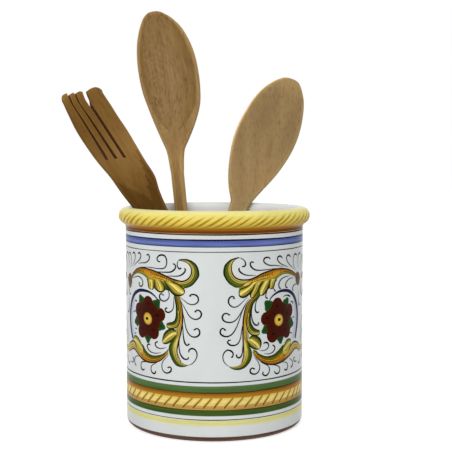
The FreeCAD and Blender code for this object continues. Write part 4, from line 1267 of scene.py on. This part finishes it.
spatula = {
    "length": 330.2, "head": 135.5, "width": 60.0, "thick": 7.0, "edge": 4.6, "neck": (17.0, 10.0),
    "foot": (13.0, 9.0), "sideShare": 0.62, "bend": 0.0,
    "place": (-46.0, 14.0, 9.499), "axis": (0.351, 0.24468, 0.90384), "across": (0.9354, -0.1349, -0.3267),
    "outline": [
        (0.0, 0.29, 0.28), (0.02, 0.31, 0.29), (0.09, 0.48, 0.38), (0.18, 0.66, 0.54), (0.3, 0.82, 0.75),
        (0.43, 0.935, 0.905), (0.55, 0.955, 0.975), (0.66, 0.905, 0.965), (0.77, 0.8, 0.885),
        (0.87, 0.62, 0.75), (0.945, 0.37, 0.56), (0.985, 0.16, 0.4), (0.996, 0.05, 0.3), (1.0, -0.04, 0.22),
    ],
    "wood": {"dark": "866c43", "pale": "987e51", "warm": "906e3c", "grain": "684c28", "edge": "c0a678",
             "line": 0.54, "lines": (900, 600, 150), "fleck": 0.5, "edgePaling": 0.6, "lean": 21.0, "shine": 0.25,
             # each stain: place across and along, half width, half height, strength
             "stains": ((-0.006, 0.292, 0.013, 0.034, 0.3), (0.019, 0.285, 0.008, 0.05, 0.2),
                        (0.008, 0.256, 0.004, 0.016, 0.22))},
    "paintedShading": {"neck": (262, 216, 0.25), "upper": (225, 275, 1.0), "top": (312, 326, 0.2),
             "leftBevel": (4.4, 2.5, 0.14), "upperBevel": (4.4, 2.5, 0.2), "rightBevel": (4.0, 2.0, 0.06)},
}


def warmed(level):
    # shaded wood is warmer in colour
    low = min(level, 1)
    return (level, level * low ** 0.2, level * low ** 1.2, 1)


def grow(place, low, high, amount):
    # a change that sets in at low and is full at high
    return amount * ramp(place, low, high)


def spoonPaintedShading(x, station, part):
    # painted light and shade: neck painted paler than the bowl, sides and tip paler, a painted highlight on
    # the rim round the dish, painted shade on its walls
    look = spoon["paintedShading"]
    level = 1 + grow(station, *look["neck"])
    if part in ("left", "right"):
        return level * (look["side"] + grow(station, *look["tip"]))
    if part == "back":
        return level
    share = (station - spoon["length"] + spoon["head"]) / spoon["head"]
    left, right, deep = smoothTable(spoon["dishEdge"], share)
    half = spoon["width"] / 2
    if deep <= 0.02:
        return level * (look["end"] if share > 0.9 else 1)
    place = (x - (right - left) * half / 2) / ((left + right) * half / 2)
    if abs(place) > 1.001:
        return level * look["rim"]
    return level * (1 - grow(place, *look["rightWall"])) * (1 - grow(place, *look["leftWall"]))


def forkPaintedShading(x, station, part):
    # painted light and shade: painted shade to the left, near the crock and over the tines, on two facets at
    # the neck and on the left side, painted light on the right side and the tine tips
    look = fork["paintedShading"]
    level = look["leftLevel"] + grow(x, *look["across"])
    level *= look["headLevel"] + grow(station, *look["neck"])
    level *= 1 + sum(grow(station, *look[key]) for key in ("slots", "tips", "ends"))
    left, right = sectionAt(fork, min(station, look["lastWidth"]))[:2]
    inLeft = left * (grow(station, *look["leftFacet"]) - 1)
    inRight = right * (1 - grow(station, *look["rightFacet"]))
    if part == "front" and station < look["rightFacet"][0] and not inLeft <= x <= inRight:
        level *= look["facet"]
    return level * look.get(part, 1)


def spatulaPaintedShading(x, station, part):
    # painted highlights on the bevelled edges, most of all on the left, and painted light on the neck, the
    # left side and the top
    look = spatula["paintedShading"]
    left, right = sectionAt(spatula, station)[:2]
    upper = grow(station, *look["upper"])
    bevels = grow(x + left, *look["leftBevel"]) + upper * grow(x + left, *look["upperBevel"])
    bevels += grow(right - x, *look["rightBevel"])
    level = (1 + grow(station, *look["neck"])) * (1 + bevels)
    return level * (1 + (upper if part == "left" else grow(station, *look["top"])))


def utensilPlace(u):
    # from the utensil's own frame to where it stands in the crock
    axis, across = Vector(u["axis"]).normalized(), Vector(u["across"]).normalized()
    back = axis.cross(across)
    place = Matrix((across, back, axis)).transposed().to_4x4()
    place.translation = Vector(u["place"]) * mm
    return place


def sectionAt(u, station):
    # half widths to the left and right, front, thickness and side at a place along the piece
    handle = u["length"] - u["head"]
    neckWide, neckThick = u["neck"]
    if station <= handle * handleEnd:
        share = station / handle
        full = smoothTable(footShares, share)[0]
        half = (u["foot"][0] + (neckWide - u["foot"][0]) * share) * full / 2
        thick = (u["foot"][1] + (neckThick - u["foot"][1]) * share) * full
        return half, half, -thick / 2, thick, thick * u["sideShare"]
    share = (station - handle) / u["head"]
    neck = ((handleEnd - 1) * handle / u["head"], neckWide / u["width"], neckWide / u["width"])
    outline = [neck] + u["outline"][1:]
    left, right = (s * u["width"] / 2 for s in smoothTable(outline, share))
    shape, place = headShape, max(share, 0)
    grown = min(place / shape["grownAt"], 1)
    thinning = 1 - shape["thinned"] * place ** 3
    thick = (neckThick + (u["thick"] - neckThick) * grown) * thinning
    side = (neckThick * u["sideShare"] + (u["edge"] - neckThick * u["sideShare"]) * grown) * thinning
    front = -neckThick / 2 + u["bend"] * place ** shape["bendPower"]
    end = min((u["length"] - station) / shape["tipLength"], 1)
    rounded = shape["tipShare"] + (1 - shape["tipShare"]) * math.sqrt(max(1 - (1 - end) ** 2, 0))
    front += thick * (1 - rounded) / 2
    return left, right, front, thick * rounded, side * rounded


def stationsOf(u, last):
    # places of sections along the piece, closer together at its foot and towards its tip
    handle = u["length"] - u["head"]
    onHandle, onHead = 16, 70
    straight = handleEnd - footPlaces[-1]
    places = [handle * p for p in footPlaces]
    places += [handle * (footPlaces[-1] + straight * k / onHandle) for k in range(1, onHandle + 1)]
    start = handle * handleEnd
    shares = [1 - (1 - k / onHead) ** 1.5 for k in range(1, onHead + 1)]
    return places + [start + (last - start) * share for share in shares]


def sideArc(x, front, side, first):
    # round side of a section, from one face to the other
    steps = 8
    angles = [first + math.pi * k / steps for k in range(1, steps)]
    return [(x + side / 2 * math.cos(a), front + side / 2 * (1 + math.sin(a))) for a in angles]


def crownAt(x, left, right, front, thick, side):
    # back face, crowned across
    half = max((left + right) / 2 - side / 2, 1e-6)
    off = (x - (right - left) / 2) / half
    return front + side + (thick - side) * (1 - min(off * off, 1))


def ringSection(u, station, columns):
    # points of a section with the part of it they are on
    left, right, front, thick, side = sectionAt(u, station)
    low, high = -left + side / 2, right - side / 2
    xs, ys = columns(station, low, high, front)
    ring = [(x, y, "front") for x, y in zip(xs, ys)]
    ring += [(x, y, "right") for x, y in sideArc(high, front, side, -math.pi / 2)]
    ring += [(x, crownAt(x, left, right, front, thick, side), "back") for x in reversed(xs)]
    ring += [(x, y, "left") for x, y in sideArc(low, front, side, math.pi / 2)]
    return ring


def loftUtensil(name, u, node, columns, paintedShading):
    # skin over all sections, closed at foot and tip
    stations = stationsOf(u, u["length"])
    rings = [ringSection(u, s, columns) for s in stations]
    count = len(rings[0])
    verts = [(x * mm, y * mm, s * mm) for s, ring in zip(stations, rings) for x, y, part in ring]
    levels = [paintedShading(x, s, part) for s, ring in zip(stations, rings) for x, y, part in ring]
    faces = []
    for i in range(len(rings) - 1):
        for k in range(count):
            n = (k + 1) % count
            faces.append((i * count + k, i * count + n, (i + 1) * count + n, (i + 1) * count + k))
    for i in (0, len(rings) - 1):
        ends = [Vector(v) for v in verts[i * count:(i + 1) * count]]
        verts.append(tuple(sum(ends, Vector()) / count))
        levels.append(levels[i * count])
        for k in range(count):
            face = (i * count + (k + 1) % count, i * count + k, len(verts) - 1)
            faces.append(face if i == 0 else face[::-1])
    wood = woodFinish(node + "Wood", u["wood"])
    piece = makePiece(name, verts, faces, node, [wood], None, utensilPlace(u))
    # painted light and shade in the corners of the piece
    paintCorners(piece.data, [warmed(levels[v]) for face in faces for v in face], "paintedShading")
    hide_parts(node)
    return piece


def spoonColumns(station, low, high, front):
    # columns follow the edge of the dish, so that it stays crisp
    u = spoon
    share = (station - u["length"] + u["head"]) / u["head"]
    left, right, deep = smoothTable(u["dishEdge"], share)
    a = min(max(-left * u["width"] / 2, low + u["leastRim"]), high - 2 * u["leastDish"])
    b = max(min(right * u["width"] / 2, high - u["leastRim"]), a + u["leastDish"])
    onRim, inDish = 4, 26
    xs = [low + (a - low) * k / onRim for k in range(onRim)]
    xs += [a + (b - a) * k / inDish for k in range(inDish + 1)]
    xs += [b + (high - b) * k / onRim for k in range(1, onRim + 1)]
    middle, half = (a + b) / 2, (b - a) / 2
    deep = max(deep, 0) * u["dish"]
    return xs, [front + deep * max(1 - ((x - middle) / half) ** 2, 0) for x in xs]


def flatColumns(station, low, high, front):
    # evenly spaced columns on a flat face
    count = 24
    return [low + (high - low) * k / count for k in range(count + 1)], [front] * (count + 1)


def forkTines():
    # edges at the tip, edges at the root, tip and corner roundings of each tine
    u = fork
    sides = [s * share * u["width"] / 2 for s, share in zip((-1, 1), u["outline"][-1][1:])]
    tips = [sides[0]] + [x for slot in u["slotTips"] for x in slot] + [sides[1]]
    roots = [sides[0]] + [x for slot in u["slotRoots"] for x in slot] + [sides[1]]
    tines = []
    for k, drop in enumerate(u["drops"]):
        pair = slice(2 * k, 2 * k + 2)
        tines.append((*tips[pair], roots[pair], u["length"] - drop, *u["roundings"][k]))
    return tines


def tineTip(tine, x):
    # how far up a tine reaches at one place across it
    left, right, _, tip, roundLeft, roundRight = tine
    for off, r in ((x - left, roundLeft), (right - x, roundRight)):
        off = max(off, 0)
        if off < r:
            return tip - r + math.sqrt(max(r * r - (r - off) ** 2, 0))
    return tip


def forkFaces(rows, slotRow, gaps):
    # faces of the fork and, apart from them, the sawn walls of its slots
    last = len(rows[0]["front"]) - 1
    faces, walls = [], []
    for i, (a, b) in enumerate(zip(rows, rows[1:])):
        for c in range(last):
            if i >= slotRow and c in gaps:
                continue
            faces.append((a["front"][c], a["front"][c + 1], b["front"][c + 1], b["front"][c]))
            faces.append((a["back"][c + 1], a["back"][c], b["back"][c], b["back"][c + 1]))
        rights = [[row["front"][last]] + row["right"] + [row["back"][last]] for row in (a, b)]
        lefts = [[row["back"][0]] + row["left"] + [row["front"][0]] for row in (a, b)]
        for one, two in (rights, lefts):
            faces += [(one[k], one[k + 1], two[k + 1], two[k]) for k in range(len(one) - 1)]
        if i >= slotRow:
            for c in gaps:
                walls.append((a["front"][c], a["back"][c], b["back"][c], b["front"][c]))
                walls.append((a["back"][c + 1], a["front"][c + 1], b["front"][c + 1], b["back"][c + 1]))
    bottom, tips, foot = rows[slotRow], rows[-1], rows[0]
    for c in gaps:
        walls.append((bottom["front"][c], bottom["front"][c + 1], bottom["back"][c + 1], bottom["back"][c]))
    for c in range(last):
        if c not in gaps:
            faces.append((tips["front"][c], tips["front"][c + 1], tips["back"][c + 1], tips["back"][c]))
    faces.append([tips["front"][last]] + tips["right"] + [tips["back"][last]])
    faces.append([tips["back"][0]] + tips["left"] + [tips["front"][0]])
    faces.append(foot["front"] + foot["right"] + foot["back"][::-1] + foot["left"])
    return faces, walls


def buildFork():
    # one skin with three slots cut through it, each tine with its own tip
    u, tines, splits = fork, forkTines(), fork["columns"]
    tipEnd, slotBottom = u["length"], u["length"] - u["slotLength"]
    owner = [k for k, count in enumerate(splits) for _ in range(count + 1)]  # tine of each column
    gaps = [c for c in range(len(owner) - 1) if owner[c] != owner[c + 1]]
    left, right, _, _, side = sectionAt(u, slotBottom)
    bottomLow, bottomHigh = -left + side / 2, right - side / 2

    def leanAt(x, station):
        # the slots end on a slant, further down to the right
        fade = ramp(station, slotBottom - u["leanFade"], slotBottom) * ramp(station, tipEnd, slotBottom)
        return -u["slotLean"] * x * fade

    def columnXs(station):
        # places across of all columns, which follow the slots
        left, side = sectionAt(u, station + leanAt(bottomLow, station))[::4]
        low = -left + side / 2
        right, side = sectionAt(u, station + leanAt(bottomHigh, station))[1::3]
        high = right - side / 2
        fixedLow, fixedHigh = (low, high) if station >= slotBottom else (bottomLow, bottomHigh)
        rise = ramp(station, slotBottom, tipEnd - u["runEnd"])
        curl = u["curl"] * (ramp(station, tipEnd - u["curlLength"], tipEnd) ** 1.2 - rise)
        xs = []
        for k, tine in enumerate(tines):
            a, b = blend(tine[2], tine[:2], rise)
            a = fixedLow if k == 0 else a + curl
            b = fixedHigh if k == 3 else b + curl
            xs += [a + (b - a) * n / splits[k] for n in range(splits[k] + 1)]
        return [low + (x - fixedLow) / (fixedHigh - fixedLow) * (high - low) for x in xs]

    verts, levels, rows = [], [], []

    def addPoint(x, y, z, part):
        verts.append((x * mm, y * mm, z * mm))
        levels.append(forkPaintedShading(x, z, part))
        return len(verts) - 1

    def addRow(station, share):
        # below the slots every point is at one station, above them each goes its share to its own tip
        def up(x, tine):
            if share is None:
                return station + leanAt(x, station)
            base = slotBottom + leanAt(x, slotBottom)
            return base + (tineTip(tine, x) - base) * share
        xs = columnXs(station)
        row = {"front": [], "back": []}
        for c, x in enumerate(xs):
            z = up(x, tines[owner[c]])
            left, right, front, thick, side = sectionAt(u, min(z, tipEnd - 0.01))
            tip = tines[owner[c]][3]
            thinned = 0 if share is None else u["pinch"] * max(1 - (tip - z) / u["pinchLength"], 0) ** 2
            back = crownAt(x, left, right, front, thick, side)
            # slots are sawn at a slant, so that their backs lie further left
            inside = ramp(min(x - xs[0], xs[-1] - x), 0, u["skewSide"])
            inside *= ramp(station, slotBottom - u["skewFade"], slotBottom)
            if c in (gaps[2], gaps[2] + 1):
                # the last slot opens at its mouth
                inside *= 1 - ramp(station, *(tipEnd - m for m in u["mouth"]))
            row["front"].append(addPoint(x, front + thick * thinned, z, "front"))
            row["back"].append(addPoint(x - u["skew"] * inside, back - thick * thinned, z, "back"))
        quarter = math.pi / 2
        sides = (("right", xs[-1], -quarter, tines[-1]), ("left", xs[0], quarter, tines[0]))
        for key, x, first, tine in sides:
            _, _, front, _, side = sectionAt(u, min(up(x, tine), tipEnd - 0.01))
            row[key] = [addPoint(ax, ay, up(ax, tine), key) for ax, ay in sideArc(x, front, side, first)]
        rows.append(row)

    for s in stationsOf(u, slotBottom):
        addRow(s, None)
    slotRow = len(rows) - 1
    for k in range(1, u["rows"] + 1):
        share = 1 - (1 - k / u["rows"]) ** 1.6
        addRow(slotBottom + u["slotLength"] * min(share, 0.999), share)

    faces, walls = forkFaces(rows, slotRow, gaps)
    wood = woodFinish("forkWood", u["wood"])
    piece = makePiece("woodenFork", verts, faces + walls, "fork", [wood], None, utensilPlace(u))
    # painted light and shade on the fork, with painted shade on the sawn walls of the slots
    corners = [warmed(levels[v]) for face in faces for v in face]
    corners += [(*(levels[v] * s for s in u["paintedShading"]["slotWall"]), 1) for face in walls for v in face]
    paintCorners(piece.data, corners, "paintedShading")
    sheet = bmesh.new()
    sheet.from_mesh(piece.data)
    bmesh.ops.recalc_face_normals(sheet, faces=sheet.faces)
    sheet.to_mesh(piece.data)
    sheet.free()
    bevel = piece.modifiers.new("softEdges", "BEVEL")
    bevel.width = u["softEdge"] * mm
    bevel.segments = 2
    bevel.limit_method = "ANGLE"
    bevel.angle_limit = math.radians(50)
    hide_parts("fork")
    return piece


utensils = [loftUtensil("woodenSpoon", spoon, "spoon", spoonColumns, spoonPaintedShading), buildFork(),
            loftUtensil("woodenSpatula", spatula, "spatula", flatColumns, spatulaPaintedShading)]
print("utensils:", ", ".join(u.name for u in utensils))


# Camera, light and stage

view = {
    "place": (0.01027, -0.8974, 0.236), "tilt": 4.048,
    "focalPixels": 1021.0, "framePixels": 452, "sensor": 36.0,
}
cameraData = bpy.data.cameras.new("camera")
cameraData.sensor_width = view["sensor"]
cameraData.lens = view["focalPixels"] / view["framePixels"] * view["sensor"]
cameraData.clip_start = 0.01
camera = bpy.data.objects.new("camera", cameraData)
camera.location = view["place"]
camera.rotation_euler = (math.radians(90 - view["tilt"]), 0, 0)
bpy.context.scene.collection.objects.link(camera)
bpy.context.scene.camera = camera
bpy.context.scene.view_settings.view_transform = "Standard"

studio = {
    "fill": 0.52, "floorTone": (0.78, 0.8), "floorGlow": 0.62, "floorHalf": 6.0, "floorGrain": 300.0,
    "lamps": [
        # name, place, aim, size, watts
        ("keyLamp", (-0.64, -1.69, 0.85), (0, 0, 0.18), 1.2, 15.2),
        ("rightLamp", (1.3, -1.2, 0.5), (0, 0, 0.15), 0.9, 0.9),
        ("topLamp", (0.1, -0.2, 1.5), (0, 0, 0.2), 1.2, 5.0),
    ],
}


def addLamp(name, place, aim, size, watts):
    data = bpy.data.lights.new(name, "AREA")
    data.shape = "DISK"
    data.size = size
    data.energy = watts
    lamp = bpy.data.objects.new(name, data)
    lamp.location = place
    lamp.rotation_euler = (Vector(aim) - Vector(place)).to_track_quat("-Z", "Y").to_euler()
    bpy.context.scene.collection.objects.link(lamp)


for lampRow in studio["lamps"]:
    addLamp(*lampRow)

world = bpy.data.worlds.new("studio")
bpy.context.scene.world = world
world.use_nodes = True
sky = world.node_tree
sky.nodes.clear()
skyOut = sky.nodes.new("ShaderNodeOutputWorld")
skyGlow = sky.nodes.new("ShaderNodeBackground")
skyGlow.inputs["Color"].default_value = (1, 1, 1, 1)
skyPath = sky.nodes.new("ShaderNodeLightPath")
skySeen = addMath(sky, "MAXIMUM", skyPath.outputs["Is Camera Ray"], skyPath.outputs["Is Transmission Ray"])
skySeen = addMath(sky, "MAXIMUM", skySeen, skyPath.outputs["Is Glossy Ray"])
sky.links.new(addRange(sky, skySeen, 0, 1, studio["fill"], 1.0), skyGlow.inputs["Strength"])
sky.links.new(skyGlow.outputs["Background"], skyOut.inputs["Surface"])

floorMesh = bpy.data.meshes.new("floor")
half = studio["floorHalf"]
floorCorners = [(-half, -half, 0), (half, -half, 0), (half, half, 0), (-half, half, 0)]
floorMesh.from_pydata(floorCorners, [], [(0, 1, 2, 3)])
floor = bpy.data.objects.new("floor", floorMesh)
bpy.context.scene.collection.objects.link(floor)
floorFinish, floorTree, floorShader = newFinish("paleFloor")
floorMesh.materials.append(floorFinish)
floorCoords = floorTree.nodes.new("ShaderNodeTexCoord").outputs["Object"]
floorGrain = spanNoise(floorTree, addNoise(floorTree, floorCoords, studio["floorGrain"], 2.0), 0, 1)
floorColour = addMix(floorTree, "MIX", floorGrain, *[(t, t, t) for t in studio["floorTone"]])
floorTree.links.new(floorColour, floorShader.inputs["Base Color"])
floorShader.inputs["Roughness"].default_value = 0.9
floorPath = floorTree.nodes.new("ShaderNodeLightPath")
floorRays = [floorPath.outputs[ray] for ray in ("Is Camera Ray", "Is Glossy Ray")]
floorSeen = addMath(floorTree, "MAXIMUM", *floorRays)
floorShader.inputs["Emission Color"].default_value = (1, 1, 1, 1)
floorGlow = addRange(floorTree, floorSeen, 0, 1, 0, studio["floorGlow"])
floorTree.links.new(floorGlow, floorShader.inputs["Emission Strength"])
print("camera and light set")
